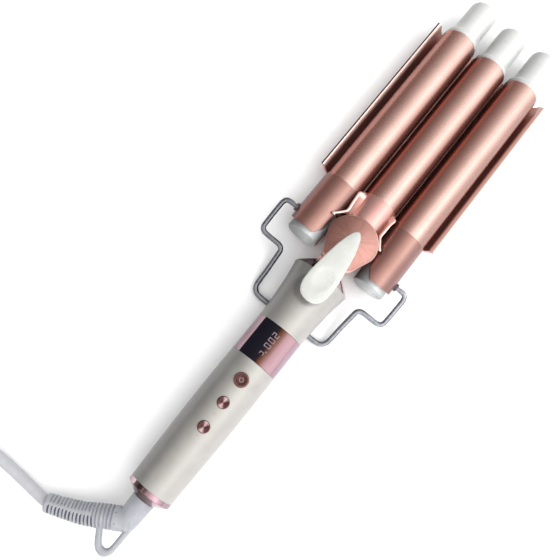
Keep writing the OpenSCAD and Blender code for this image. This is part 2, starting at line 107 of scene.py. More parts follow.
def spline(pts, k):
    """A Catmull-Rom line through pts, k steps a stretch."""
    P = [Vector(p) for p in pts]
    out = []
    for i in range(len(P) - 1):
        a, b, c, d = P[max(i - 1, 0)], P[i], P[i + 1], P[min(i + 2, len(P) - 1)]
        for j in range(k):
            t = j / k
            out.append(0.5 * (2 * b + (c - a) * t + (2 * a - 5 * b + 4 * c - d) * t * t + (3 * b - a - 3 * c + d) * t ** 3))
    out.append(P[-1])
    return out


def resample(pts, step):
    L = [0.0]
    for a, b in zip(pts, pts[1:]):
        L.append(L[-1] + (b - a).length)
    n = max(2, int(round(L[-1] / step)))
    out, i = [], 0
    for k in range(n + 1):
        s = L[-1] * k / n
        while i < len(pts) - 2 and L[i + 1] < s:
            i += 1
        t = (s - L[i]) / max(1e-9, L[i + 1] - L[i])
        out.append(pts[i].lerp(pts[i + 1], min(1, max(0, t))))
    return out, L[-1]


def make(name, verts, faces, mat, body=None, replaces=(), angle=35, scale=True):
    """A mesh object from points in the waist frame in mm."""
    me = bpy.data.meshes.new(name)
    me.from_pydata([V(*v) if scale else v for v in verts], [], faces)
    bm = bmesh.new()
    bm.from_mesh(me)
    bmesh.ops.remove_doubles(bm, verts=bm.verts, dist=2e-6)
    bmesh.ops.dissolve_degenerate(bm, dist=1e-7, edges=bm.edges)
    bmesh.ops.recalc_face_normals(bm, faces=bm.faces)
    bm.to_mesh(me)
    bm.free()
    me.shade_smooth()
    me.set_sharp_from_angle(angle=rad(angle))
    ob = bpy.data.objects.new(name, me)
    SCN.collection.objects.link(ob)
    me.materials.append(mat)
    if body:
        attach(ob, body)
    if replaces:
        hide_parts(*replaces)
    return ob


class Parts:
    """Several closed pieces put into one mesh."""
    def __init__(self):
        self.v, self.f = [], []

    def add(self, vf):
        v, f = vf
        o = len(self.v)
        self.v += [tuple(p) for p in v]
        self.f += [tuple(i + o for i in q) for q in f]
        return self


def tube_faces(m, n, closed_ends=True, wrap=False):
    f = []
    last = m if wrap else m - 1
    for i in range(last):
        for k in range(n):
            a, b = i * n + k, i * n + (k + 1) % n
            c, d = ((i + 1) % m) * n + (k + 1) % n, ((i + 1) % m) * n + k
            f.append((a, b, c, d))
    if closed_ends and not wrap:
        f.append(tuple(range(n - 1, -1, -1)))
        f.append(tuple((m - 1) * n + k for k in range(n)))
    return f


def revolve(profile, x=0.0, z=ZC, n=96, axis="Y", at=0.0):
    """Closed solid of revolution. profile is (radius, position on the axis), from end to end."""
    v, f, rings = [], [], []
    for r, h in profile:
        ids = []
        for k in range(n if r > 1e-6 else 1):
            a = 2 * pi * k / n
            if axis == "Y":
                v.append((x + r * cos(a), h, z + r * sin(a)))
            elif axis == "X":
                v.append((h, at + r * cos(a), z + r * sin(a)))
            else:
                v.append((x + r * cos(a), at + r * sin(a), h))
            ids.append(len(v) - 1)
        rings.append(ids)
    for A, B in zip(rings, rings[1:]):
        for k in range(n):
            a0, a1 = A[k % len(A)], A[(k + 1) % len(A)]
            b0, b1 = B[k % len(B)], B[(k + 1) % len(B)]
            q = [a0, a1, b1, b0]
            q = [i for j, i in enumerate(q) if i not in q[:j]]
            if len(q) > 2:
                f.append(tuple(q))
    return v, f


def frames(pts, up=Vector((0, 0, 1))):
    """Tangent and two side directions at each point, carried along without twist."""
    m = len(pts)
    T = []
    for i in range(m):
        a, b = pts[max(i - 1, 0)], pts[min(i + 1, m - 1)]
        T.append((b - a).normalized())
    s = T[0].cross(up)
    s = s.normalized() if s.length > 1e-6 else Vector((1, 0, 0))
    out = []
    for t in T:
        s = (s - t * s.dot(t)).normalized()
        out.append((t, s, s.cross(t)))
    return out


def sweep(pts, radius, n=16, round_ends=0, up=Vector((0, 0, 1))):
    """Round tube along pts; radius is a number or a function of (index, angle)."""
    fr = frames(pts, up)
    v = []
    for i, (p, (t, s, u)) in enumerate(zip(pts, fr)):
        for k in range(n):
            a = 2 * pi * k / n
            r = radius(i, a) if callable(radius) else radius
            q = p + r * (cos(a) * s + sin(a) * u)
            v.append((q.x, q.y, q.z))
    return v, tube_faces(len(pts), n)


def loft(rings):
    n = len(rings[0])
    v = [p for r in rings for p in r]
    return v, tube_faces(len(rings), n)


def shell(stations, a0, a1, n, t):
    """Closed shell of thickness t: stations are (y, rx, z, rz); angles in degrees, 90 is up."""
    v, f = [], []
    for y, rx, zc, rz in stations:
        for k in range(n + 1):
            a = rad(lerp(a0, a1, k / n))
            v.append((rx * cos(a), y, zc + rz * sin(a)))
        for k in range(n + 1):
            a = rad(lerp(a0, a1, k / n))
            v.append(((rx - t) * cos(a), y, zc + (rz - t) * sin(a)))
    w = n + 1
    m = len(stations)
    for i in range(m - 1):
        o, p = i * 2 * w, (i + 1) * 2 * w
        for k in range(n):
            f.append((o + k, o + k + 1, p + k + 1, p + k))
            f.append((o + w + k + 1, o + w + k, p + w + k, p + w + k + 1))
        f.append((o, p, p + w, o + w))
        f.append((o + n, o + w + n, p + w + n, p + n))
    for o in (0, (m - 1) * 2 * w):
        for k in range(n):
            f.append((o + k, o + w + k, o + w + k + 1, o + k + 1))
    return v, f


# ------------------------------------------------------------------ materials
def new_mat(name):
    m = bpy.data.materials.new(name)
    m.use_nodes = True
    nt = m.node_tree
    for n in list(nt.nodes):
        nt.nodes.remove(n)
    out = nt.nodes.new("ShaderNodeOutputMaterial")
    bsdf = nt.nodes.new("ShaderNodeBsdfPrincipled")
    nt.links.new(bsdf.outputs[0], out.inputs[0])
    return m, nt, bsdf


def node(nt, kind, **ins):
    n = nt.nodes.new("ShaderNode" + kind)
    for k, v in ins.items():
        key = k.replace("_", " ")
        if key in n.inputs:
            n.inputs[key].default_value = v
        else:
            setattr(n, k, v)
    return n


def ramp(nt, stops, interpolation="LINEAR"):
    r = nt.nodes.new("ShaderNodeValToRGB")
    r.color_ramp.interpolation = interpolation
    el = r.color_ramp.elements
    while len(el) < len(stops):
        el.new(0.5)
    for e, (p, c) in zip(el, stops):
        e.position = p
        e.color = (*c, 1) if len(c) == 3 else c
    return r


def finish(name, low, high, rough, metal=0.0, scale=220.0, detail=6.0, rough_var=0.08, bump=0.15, grain=900.0,
           coat=0.0, coat_rough=0.1, spec=0.5, aniso=0.0, dist=0.00004, scratches=0.0):
    """Moulded or painted surface: two near tones mixed by noise, uneven roughness and a fine grain."""
    m, nt, b = new_mat(name)
    L = nt.links.new
    tc = node(nt, "TexCoord")
    n1 = node(nt, "TexNoise", Scale=scale, Detail=detail, Roughness=0.6)
    n2 = node(nt, "TexNoise", Scale=grain, Detail=3.0, Roughness=0.5)
    L(tc.outputs["Object"], n1.inputs["Vector"])
    L(tc.outputs["Object"], n2.inputs["Vector"])
    c = ramp(nt, [(0.3, low), (0.7, high)])
    L(n1.outputs["Fac"], c.inputs["Fac"])
    L(c.outputs["Color"], b.inputs["Base Color"])
    mr = node(nt, "MapRange")
    mr.inputs["From Min"].default_value = 0.3
    mr.inputs["From Max"].default_value = 0.7
    mr.inputs["To Min"].default_value = max(0.02, rough - rough_var)
    mr.inputs["To Max"].default_value = min(1.0, rough + rough_var)
    L(n1.outputs["Fac"], mr.inputs["Value"])
    L(mr.outputs["Result"], b.inputs["Roughness"])
    if bump:
        bu = node(nt, "Bump", Strength=bump, Distance=dist)
        L(n2.outputs["Fac"], bu.inputs["Height"])
        L(bu.outputs["Normal"], b.inputs["Normal"])
    b.inputs["Metallic"].default_value = metal
    b.inputs["Specular IOR Level"].default_value = spec
    b.inputs["Coat Weight"].default_value = coat
    b.inputs["Coat Roughness"].default_value = coat_rough
    b.inputs["Anisotropic"].default_value = aniso
    return m


def flake_mat(name, low, high, rough, metal, coat):
    """Fine metallic paint: small flakes lighten and darken the tone and tilt the surface a little."""
    m, nt, b = new_mat(name)
    L = nt.links.new
    tc = node(nt, "TexCoord")
    vo = node(nt, "TexVoronoi", Scale=2600.0)
    n1 = node(nt, "TexNoise", Scale=60.0, Detail=4.0, Roughness=0.55)
    n2 = node(nt, "TexNoise", Scale=1500.0, Detail=2.0)
    for t in (vo, n1, n2):
        L(tc.outputs["Object"], t.inputs["Vector"])
    sep = node(nt, "SeparateColor")
    L(vo.outputs["Color"], sep.inputs["Color"])
    mix = node(nt, "Math", operation="MULTIPLY_ADD")
    mix.inputs[1].default_value = 0.22
    L(sep.outputs["Red"], mix.inputs[0])
    half = node(nt, "Math", operation="MULTIPLY")
    half.inputs[1].default_value = 0.55
    L(n1.outputs["Fac"], half.inputs[0])
    L(half.outputs[0], mix.inputs[2])
    c = ramp(nt, [(0.035, low), (0.735, high)])
    L(mix.outputs[0], c.inputs["Fac"])
    L(c.outputs["Color"], b.inputs["Base Color"])
    mr = node(nt, "MapRange")
    mr.inputs["To Min"].default_value = rough - 0.035
    mr.inputs["To Max"].default_value = rough + 0.035
    L(sep.outputs["Green"], mr.inputs["Value"])
    L(mr.outputs["Result"], b.inputs["Roughness"])
    bu = node(nt, "Bump", Strength=0.13, Distance=0.00003)
    L(n2.outputs["Fac"], bu.inputs["Height"])
    L(bu.outputs["Normal"], b.inputs["Normal"])
    b.inputs["Metallic"].default_value = metal
    b.inputs["Coat Weight"].default_value = coat
    b.inputs["Coat Roughness"].default_value = 0.2
    return m


def spun_mat(name, low, high, rough, aniso, radial=True, painted_glints=False):
    """Lathe-turned metal: rings about the Z axis of the piece, and on request a painted highlight of two bright fans
    across its face.
    """
    m, nt, b = new_mat(name)
    L = nt.links.new
    tc = node(nt, "TexCoord")
    n1 = node(nt, "TexNoise", Scale=400.0, Detail=3.0)
    L(tc.outputs["Object"], n1.inputs["Vector"])
    c = ramp(nt, [(0.3, low), (0.7, high)])
    L(n1.outputs["Fac"], c.inputs["Fac"])
    L(c.outputs["Color"], b.inputs["Base Color"])
    if painted_glints:
        # painted highlight: two bright fans across the face, as turned metal shows under a light, and the rest
        # darkened
        mp = node(nt, "Mapping")
        mp.inputs["Location"].default_value = (-0.5, -0.5, 0)
        L(tc.outputs["Generated"], mp.inputs["Vector"])
        gr = node(nt, "TexGradient", gradient_type="RADIAL")
        L(mp.outputs[0], gr.inputs["Vector"])
        fan = ramp(nt, [(0.0, (0.16, 0.10, 0.10)), (0.14, (0.2, 0.13, 0.13)), (0.22, (1, 1, 1)), (0.29, (1, 1, 1)), (0.38, (0.22, 0.14, 0.14)), (0.62, (0.16, 0.10, 0.10)), (0.71, (1, 1, 1)), (0.78, (1, 1, 1)), (0.87, (0.2, 0.13, 0.13)), (1.0, (0.16, 0.10, 0.10))])
        L(gr.outputs["Fac"], fan.inputs["Fac"])
        mx = node(nt, "Mix", data_type="RGBA", blend_type="MULTIPLY")
        mx.inputs["Factor"].default_value = 1.0
        L(c.outputs["Color"], mx.inputs[6])
        L(fan.outputs["Color"], mx.inputs[7])
        L(mx.outputs[2], b.inputs["Base Color"])
    b.inputs["Metallic"].default_value = 1.0
    mr = node(nt, "MapRange")
    mr.inputs["To Min"].default_value = rough - 0.04
    mr.inputs["To Max"].default_value = rough + 0.04
    L(n1.outputs["Fac"], mr.inputs["Value"])
    L(mr.outputs["Result"], b.inputs["Roughness"])
    b.inputs["Anisotropic"].default_value = aniso
    if radial:
        tg = node(nt, "Tangent", direction_type="RADIAL", axis="Z")
        L(tg.outputs[0], b.inputs["Tangent"])
    return m


def paint_shade_and_highlight(m, stops, span=0.020, pitch=0.0, half=0.0):
    """Paints shade and highlight into the base colour: multiplies it by a ramp over X; with pitch, over the distance
    from the nearest barrel axis.
    """
    nt = m.node_tree
    L = nt.links.new
    b = nt.nodes["Principled BSDF"]
    src = b.inputs["Base Color"].links[0].from_socket
    tc = node(nt, "TexCoord")
    sx = node(nt, "SeparateXYZ")
    L(tc.outputs["Object"], sx.inputs[0])
    if pitch:
        d = node(nt, "Math", operation="MULTIPLY_ADD")
        d.inputs[1].default_value = 1.0 / pitch
        d.inputs[2].default_value = 0.5
        L(sx.outputs["X"], d.inputs[0])
        fr = node(nt, "Math", operation="FRACT")
        L(d.outputs[0], fr.inputs[0])
        val = node(nt, "MapRange")
        val.inputs["From Min"].default_value = 0.5 - half / pitch
        val.inputs["From Max"].default_value = 0.5 + half / pitch
        L(fr.outputs[0], val.inputs["Value"])
    else:
        val = node(nt, "MapRange")
        val.inputs["From Min"].default_value = -span
        val.inputs["From Max"].default_value = span
        L(sx.outputs["X"], val.inputs["Value"])
    c = ramp(nt, stops)
    L(val.outputs["Result"], c.inputs["Fac"])
    mx = node(nt, "Mix", data_type="RGBA", blend_type="MULTIPLY")
    mx.inputs["Factor"].default_value = 1.0
    L(src, mx.inputs[6])
    L(c.outputs["Color"], mx.inputs[7])
    L(mx.outputs[2], b.inputs["Base Color"])
    return m


def paint_shadow_spot(m, x, y, z, r, rz, stops):
    """Paints a soft shadow into the base colour: multiplies it by a ramp round the point x, y, z (mm): 0 at distance r
    across or rz in height, 1 at the point.
    """
    nt = m.node_tree
    L = nt.links.new
    b = nt.nodes["Principled BSDF"]
    src = b.inputs["Base Color"].links[0].from_socket
    tc = node(nt, "TexCoord")
    mp = node(nt, "Mapping")
    k, kz = 1000.0 / r, 1000.0 / rz
    c = V(x, y, z)
    mp.inputs["Location"].default_value = (-c.x * k, -c.y * k, -c.z * kz)
    mp.inputs["Scale"].default_value = (k, k, kz)
    L(tc.outputs["Object"], mp.inputs["Vector"])
    gr = node(nt, "TexGradient", gradient_type="SPHERICAL")
    L(mp.outputs[0], gr.inputs["Vector"])
    col = ramp(nt, stops)
    L(gr.outputs["Fac"], col.inputs["Fac"])
    mx = node(nt, "Mix", data_type="RGBA", blend_type="MULTIPLY")
    mx.inputs["Factor"].default_value = 1.0
    L(src, mx.inputs[6])
    L(col.outputs["Color"], mx.inputs[7])
    L(mx.outputs[2], b.inputs["Base Color"])
    return m


def fan_mat():
    """Turned face of the clamp's disc: faint rays and arcs round its centre."""
    m, nt, b = new_mat("rose_fan")
    L = nt.links.new
    tc = node(nt, "TexCoord")
    mp = node(nt, "Mapping")
    mp.inputs["Location"].default_value = (0.0, -0.0199, -0.030)
    L(tc.outputs["Object"], mp.inputs["Vector"])
    gr = node(nt, "TexGradient", gradient_type="RADIAL")
    L(mp.outputs[0], gr.inputs["Vector"])
    sp = node(nt, "TexGradient", gradient_type="SPHERICAL")
    sc = node(nt, "Mapping")
    sc.inputs["Location"].default_value = (0.0, -0.0199 * 40, -0.030 * 40)
    sc.inputs["Scale"].default_value = (40, 40, 40)
    L(tc.outputs["Object"], sc.inputs["Vector"])
    L(sc.outputs[0], sp.inputs["Vector"])
    cx = node(nt, "CombineXYZ")
    ang = node(nt, "Math", operation="MULTIPLY")
    ang.inputs[1].default_value = 36.0
    L(gr.outputs["Fac"], ang.inputs[0])
    rd = node(nt, "Math", operation="MULTIPLY")
    rd.inputs[1].default_value = 2.2
    L(sp.outputs["Fac"], rd.inputs[0])
    L(ang.outputs[0], cx.inputs["X"])
    L(rd.outputs[0], cx.inputs["Y"])
    n1 = node(nt, "TexNoise", Scale=1.0, Detail=4.0, Roughness=0.65)
    L(cx.outputs[0], n1.inputs["Vector"])
    c = ramp(nt, [(0.25, (0.31, 0.15, 0.12)), (0.5, (0.38, 0.195, 0.165)), (0.78, (0.45, 0.25, 0.22))])
    L(n1.outputs["Fac"], c.inputs["Fac"])
    L(c.outputs["Color"], b.inputs["Base Color"])
    mr = node(nt, "MapRange")
    mr.inputs["To Min"].default_value = 0.36
    mr.inputs["To Max"].default_value = 0.50
    L(n1.outputs["Fac"], mr.inputs["Value"])
    L(mr.outputs["Result"], b.inputs["Roughness"])
    b.inputs["Metallic"].default_value = 0.7
    b.inputs["Anisotropic"].default_value = 0.5
    tg = node(nt, "Tangent", direction_type="RADIAL", axis="Z")
    L(tg.outputs[0], b.inputs["Tangent"])
    return m


def lens_mat_painted_reflection():
    """Smoked window, black, with a painted reflection that turns it through brown to the band's rose towards +X."""
    m, nt, b = new_mat("lens_black")
    L = nt.links.new
    tc = node(nt, "TexCoord")
    sx = node(nt, "SeparateXYZ")
    L(tc.outputs["Object"], sx.inputs[0])
    n1 = node(nt, "TexNoise", Scale=160.0, Detail=4.0)
    L(tc.outputs["Object"], n1.inputs["Vector"])
    ad = node(nt, "Math", operation="MULTIPLY_ADD")
    ad.inputs[1].default_value = 0.0022
    L(n1.outputs["Fac"], ad.inputs[0])
    L(sx.outputs["X"], ad.inputs[2])
    mr = node(nt, "MapRange")
    mr.inputs["From Min"].default_value = -0.002
    mr.inputs["From Max"].default_value = 0.0125
    L(ad.outputs[0], mr.inputs["Value"])
    c = ramp(nt, [(0.0, (0.008, 0.007, 0.012)), (0.16, (0.012, 0.008, 0.012)), (0.30, (0.10, 0.035, 0.018)),
                  (0.42, (0.16, 0.075, 0.06)), (0.58, (0.30, 0.175, 0.19)), (0.8, (0.36, 0.225, 0.25)), (1.0, (0.34, 0.215, 0.245))])
    L(mr.outputs["Result"], c.inputs["Fac"])
    L(c.outputs["Color"], b.inputs["Base Color"])
    n2 = node(nt, "TexNoise", Scale=500.0, Detail=2.0)
    L(tc.outputs["Object"], n2.inputs["Vector"])
    m2 = node(nt, "MapRange")
    m2.inputs["To Min"].default_value = 0.10
    m2.inputs["To Max"].default_value = 0.18
    L(n2.outputs["Fac"], m2.inputs["Value"])
    L(m2.outputs["Result"], b.inputs["Roughness"])
    b.inputs["Specular IOR Level"].default_value = 0.04
    return m


MAT = {
    "rose_lacquer": flake_mat("rose_lacquer", (0.47, 0.235, 0.205), (0.62, 0.345, 0.31), 0.33, 0.88, 0.1),
    # painted shade: the band darker towards both edges across X, most at -X
    "rose_mirror": paint_shade_and_highlight(finish("rose_mirror", (0.44, 0.305, 0.335), (0.52, 0.375, 0.405), 0.13, 1.0, scale=90, rough_var=0.04, bump=0.05, grain=300),
                               [(0.0, (0.25, 0.2, 0.25)), (0.2, (1, 1, 1)), (0.8, (1, 1, 1)), (1.0, (0.6, 0.6, 0.7))], span=0.0160),
    # painted shade: the handle and head darker towards -X, the side away from the light, and slightly darker at the
    # far +X edge
    "pearl_plastic": paint_shade_and_highlight(finish("pearl_plastic", (0.348, 0.333, 0.316), (0.383, 0.367, 0.349), 0.36, 0.25, scale=120, rough_var=0.05, bump=0.06, grain=2200, coat=0.15, coat_rough=0.2),
                                 [(0.0, (0.4, 0.4, 0.42)), (0.2, (0.5, 0.5, 0.5)), (0.5, (0.85, 0.85, 0.82)), (0.75, (1, 1, 1)), (1.0, (0.9, 0.9, 0.92))], span=0.0185),
    "cool_plastic": finish("cool_plastic", (0.54, 0.54, 0.53), (0.59, 0.59, 0.58), 0.30, 0.0, scale=150, rough_var=0.04, bump=0.04, grain=3000, coat=0.15),
    "lens_black": lens_mat_painted_reflection(),
    "steel": finish("steel", (0.11, 0.112, 0.122), (0.18, 0.182, 0.195), 0.26, 1.0, scale=500, rough_var=0.06, bump=0.15, grain=1600),
    "lead_grey": finish("lead_grey", (0.345, 0.345, 0.365), (0.395, 0.395, 0.415), 0.46, 0.0, scale=260, rough_var=0.06, bump=0.2, grain=1300),
    "inner_plastic": finish("inner_plastic", (0.52, 0.50, 0.47), (0.60, 0.58, 0.55), 0.55, 0.0, bump=0.3),
    "dark_plastic": finish("dark_plastic", (0.018, 0.018, 0.02), (0.035, 0.035, 0.038), 0.5, 0.0, bump=0.3),
    "board_green": finish("board_green", (0.012, 0.06, 0.03), (0.03, 0.12, 0.06), 0.35, 0.0, scale=900, bump=0.3),
    "heater_alloy": finish("heater_alloy", (0.48, 0.48, 0.50), (0.62, 0.62, 0.64), 0.42, 1.0, scale=300, bump=0.3),
}
# painted shadow: a soft dark patch on the head round and below the thumb lever's end
paint_shadow_spot(MAT["pearl_plastic"], -1.6, -23.4, 31.6, 11.2, 26.0, [(0.0, (1, 1, 1)), (0.08, (0.86, 0.85, 0.87)), (0.17, (0.66, 0.65, 0.68)), (1.0, (0.6, 0.59, 0.62))])
# painted highlight: the stand wire lighter towards +X, its lit side
STAND_STEEL_PAINTED_HIGHLIGHT = paint_shade_and_highlight(finish("stand_steel_painted_highlight", (0.11, 0.112, 0.122), (0.18, 0.182, 0.195), 0.26, 1.0, scale=500, rough_var=0.06, bump=0.15, grain=1600),
                          [(0.0, (1, 1, 1)), (0.5, (1.05, 1.05, 1.05)), (0.68, (1.45, 1.45, 1.48)), (1.0, (1.8, 1.8, 1.84))], span=0.05)
# painted highlight: a lighter copy of the disc's finish for its rim, with painted shade towards -X
DISC_RIM_PAINTED_HIGHLIGHT = paint_shade_and_highlight(flake_mat("disc_rim_painted_highlight", (0.50, 0.31, 0.28), (0.62, 0.42, 0.38), 0.34, 0.85, 0.1),
                       [(0.0, (0.5, 0.42, 0.40)), (0.35, (0.8, 0.75, 0.73)), (0.55, (1, 1, 1)), (1.0, (1.1, 1.1, 1.1))], span=0.018)
# painted shade: the sleeve dark over its -X half and light towards +X
ROSE_IN = paint_shade_and_highlight(flake_mat("rose_inner", (0.28, 0.19, 0.20), (0.38, 0.27, 0.28), 0.45, 0.3, 0.1),
                      [(0.0, (0.10, 0.07, 0.08)), (0.5, (0.22, 0.16, 0.17)), (0.66, (0.8, 0.75, 0.78)), (1.0, (1, 0.95, 1))], span=0.0195)
# painted shade: the cup dark over its -X half and light towards +X
CUP = paint_shade_and_highlight(flake_mat("rose_cup", (0.50, 0.40, 0.42), (0.62, 0.52, 0.54), 0.42, 0.3, 0.1),
                  [(0.0, (0.12, 0.09, 0.10)), (0.5, (0.2, 0.15, 0.16)), (0.7, (0.9, 0.85, 0.88)), (1.0, (1, 1, 1))], span=0.0195)
# painted reflections: bands of bright and dark across X on the tail ring, as a mirror ring reflects its surroundings
TAIL_PAINTED_REFLECTIONS = paint_shade_and_highlight(finish("tail_mirror_painted_reflections", (0.44, 0.32, 0.34), (0.56, 0.43, 0.45), 0.09, 1.0, scale=90, rough_var=0.04, bump=0.05, grain=300),
                   [(0.0, (0.4, 0.4, 0.4)), (0.12, (1.1, 1.1, 1.1)), (0.25, (0.15, 0.1, 0.1)), (0.5, (0.5, 0.4, 0.4)), (0.75, (0.9, 0.8, 0.9)), (1.0, (0.5, 0.5, 0.5))], span=0.0150)
LEVER = finish("lever_ivory", (0.455, 0.46, 0.43), (0.495, 0.50, 0.47), 0.26, 0.0, scale=130, rough_var=0.04, bump=0.03, grain=2600, coat=0.25)
# painted shade and highlight: each barrel darker and redder towards both edges, where it meets its neighbours, and
# lighter and whiter along its middle
BARREL = paint_shade_and_highlight(flake_mat("rose_barrel", (0.44, 0.258, 0.215), (0.565, 0.365, 0.325), 0.28, 0.92, 0.12),
                     [(0.0, (0.45, 0.25, 0.22)), (0.15, (0.8, 0.55, 0.5)), (0.5, (1.05, 1.1, 1.1)), (0.8, (0.8, 0.8, 0.8)), (1.0, (0.6, 0.4, 0.35))], pitch=0.0265, half=0.0125)
# painted shade: each collar much darker towards its -X edge, the side away from the light, and toned down over the
# rest
COLLAR = paint_shade_and_highlight(flake_mat("rose_collar", (0.40, 0.20, 0.16), (0.53, 0.295, 0.25), 0.32, 0.9, 0.08),
                     [(0.0, (0.2, 0.15, 0.17)), (0.2, (0.7, 0.6, 0.6)), (0.6, (0.6, 0.65, 0.65)), (1.0, (0.6, 0.6, 0.7))], pitch=0.0265, half=0.0131)
# painted light and shade: the plate's inner faces, down between the barrels, take this lighter copy, its outer and
# under faces the darker one below
PLATE = flake_mat("rose_plate", (0.58, 0.25, 0.20), (0.72, 0.37, 0.32), 0.34, 0.88, 0.08)
PLATE_SHADED = flake_mat("rose_plate_shaded", (0.38, 0.19, 0.16), (0.50, 0.28, 0.24), 0.32, 0.9, 0.08)
# painted highlight: a lighter copy of the rose finish for the wings' rolled edges and the clamp's lips
LIP = flake_mat("rose_lip_painted_highlight", (0.66, 0.44, 0.39), (0.80, 0.58, 0.52), 0.34, 0.8, 0.15)
# painted shade: the disc darker towards -X
DISC = paint_shade_and_highlight(fan_mat(), [(0.0, (0.5, 0.42, 0.40)), (0.35, (0.72, 0.66, 0.64)), (0.6, (0.95, 0.93, 0.92)), (1.0, (1.05, 1.05, 1.05))], span=0.018)
# dark metal of the stand's pivots, also used as painted shade on the left wing's outer edge
BOSS = flake_mat("boss_dark", (0.05, 0.035, 0.04), (0.12, 0.08, 0.09), 0.30, 0.9, 0.1)
# painted shade and highlight: each base plug nearly black at its -X edge, brightest a little to +X of its middle,
# darker again at its +X edge
PLUG_GREY = paint_shade_and_highlight(finish("plug_grey", (0.48, 0.495, 0.50), (0.55, 0.565, 0.57), 0.30, 0.0, scale=150, rough_var=0.04, bump=0.04, grain=3000, coat=0.1),
                        [(0.0, (0.1, 0.1, 0.1)), (0.35, (0.45, 0.45, 0.45)), (0.65, (1.1, 1.1, 1.1)), (1.0, (0.5, 0.5, 0.5))], pitch=0.0265, half=0.0116)
# painted highlight: two bright fans across the plus and minus keys' faces
SPUN = spun_mat("key_spun", (0.30, 0.20, 0.20), (0.44, 0.31, 0.31), 0.26, 0.92, painted_glints=True)
SPUN_DARK = spun_mat("key_spun_dark", (0.05, 0.024, 0.024), (0.08, 0.04, 0.04), 0.28, 0.92)
KEY_MARK = flake_mat("key_mark", (0.22, 0.145, 0.14), (0.31, 0.21, 0.205), 0.3, 0.9, 0.1)
KEY_RIM = finish("key_rim", (0.10, 0.035, 0.035), (0.16, 0.065, 0.06), 0.3, 1.0, scale=300, bump=0.1)
KEY_CAP = flake_mat("key_cap", (0.10, 0.045, 0.042), (0.16, 0.08, 0.075), 0.3, 0.92, 0.1)
RELIEF = finish("relief_grey", (0.27, 0.275, 0.30), (0.32, 0.325, 0.35), 0.38, 0.0, scale=200, rough_var=0.05, bump=0.15)
GROOVE = finish("relief_groove", (0.055, 0.055, 0.075), (0.09, 0.09, 0.115), 0.5, 0.0)
# painted shade: each tip darker towards its edges, most at -X
TIPS = paint_shade_and_highlight(finish("tip_plastic", (0.55, 0.55, 0.54), (0.60, 0.60, 0.59), 0.30, 0.0, scale=150, rough_var=0.04, bump=0.04, grain=3000, coat=0.15),
                   [(0.0, (0.4, 0.4, 0.4)), (0.3, (0.85, 0.85, 0.85)), (0.6, (1, 1, 1)), (1.0, (0.7, 0.7, 0.7))], pitch=0.0265, half=0.0118)
DOT = finish("relief_dots", (0.17, 0.16, 0.21), (0.24, 0.23, 0.29), 0.5, 0.0)
DIGIT = finish("digit_glow", (0.13, 0.10, 0.12), (0.18, 0.14, 0.165), 0.4, 0.0)
DIGIT.node_tree.nodes["Principled BSDF"].inputs["Emission Color"].default_value = (0.75, 0.58, 0.72, 1)
DIGIT.node_tree.nodes["Principled BSDF"].inputs["Emission Strength"].default_value = 0.05
PRINT = finish("printed_mark", (0.28, 0.20, 0.19), (0.36, 0.27, 0.25), 0.5, 0.0)
STRAP = finish("strap_weave", (0.02, 0.02, 0.022), (0.055, 0.055, 0.06), 0.85, 0.0, scale=1200, bump=0.7, grain=1600)

slot_of = {s["node"]: s["material_slot"] for s in frame["record"]["subparts"]}
# the barrels, collars, base plugs, tips and tail ring take the materials above with painted shade, highlight and
# reflections; the stand's bosses take the dark metal
for n_, o_ in N.items():
    o_.data.materials.clear()
    own = BARREL if n_.endswith("_barrel") else COLLAR if n_.endswith("_collar") else BOSS if n_ == "stand_bosses" else PLUG_GREY if n_.endswith("_base_plug") else TIPS if n_.endswith("_tip") else TAIL_PAINTED_REFLECTIONS if n_ == "tail_ring" else None
    o_.data.materials.append(own or MAT[slot_of[n_]])


# ------------------------------------------------------------------ cord
LR = 3.5
CC = (-124.0, -263.0)
Z0, Z1 = 4.2, 11.2


def coil_points():
    """Angle, radius and height of the wound lead: a spiral in on the table, a climb, and a spiral out on top."""
    out = []
    step = 7.5
    total = 360 * 6 + 195
    k = 0
    while k * step <= total + 1e-6:
        a = k * step
        r = 49.5 - 7.0 * a / 360 if a <= 1080 else 28.5 + 7.0 * max(0, a - 1150) / 360
        z = lerp(Z0, Z1, smooth((a - 975) / 265.0)) - 3.7 * smooth((a - 2240) / 160.0)
        out.append((90 + a, r, z))
        k += 1
    return out


def cord_route():
    a = [Vector(p) for p in [(-41.2, -214.7, 8.0), (-46.4, -215.2, 6.3), (-54, -214.9, 4.9), (-63, -214.4, 4.0), (-72, -213.9, 3.6), (-82, -213.6, 3.6),
                             (-95, -213.5, 3.7), (-108, -213.5, 3.9), (-117, -213.5, 4.1)]]
    pts = spline(a, 4)
    for ang, r, z in coil_points():
        t = rad(ang)
        pts.append(Vector((CC[0] + r * cos(t), CC[1] + r * sin(t), z)))
    tail = [pts[-1], (-101.5, -310.6, 6.9), (-92.5, -308.0, 5.3), (-83.5, -304.4, 5.2), (-75, -300.2, 6.2), (-66, -296.5, 6.8), (-61, -295.16, 6.8)]
    pts = pts[:-1] + spline(tail, 3)
    return pts


route = cord_route()
cord_v, cord_f = sweep(route, LR, 14)
cord = make("lead", cord_v, cord_f, MAT["lead_grey"], angle=60)


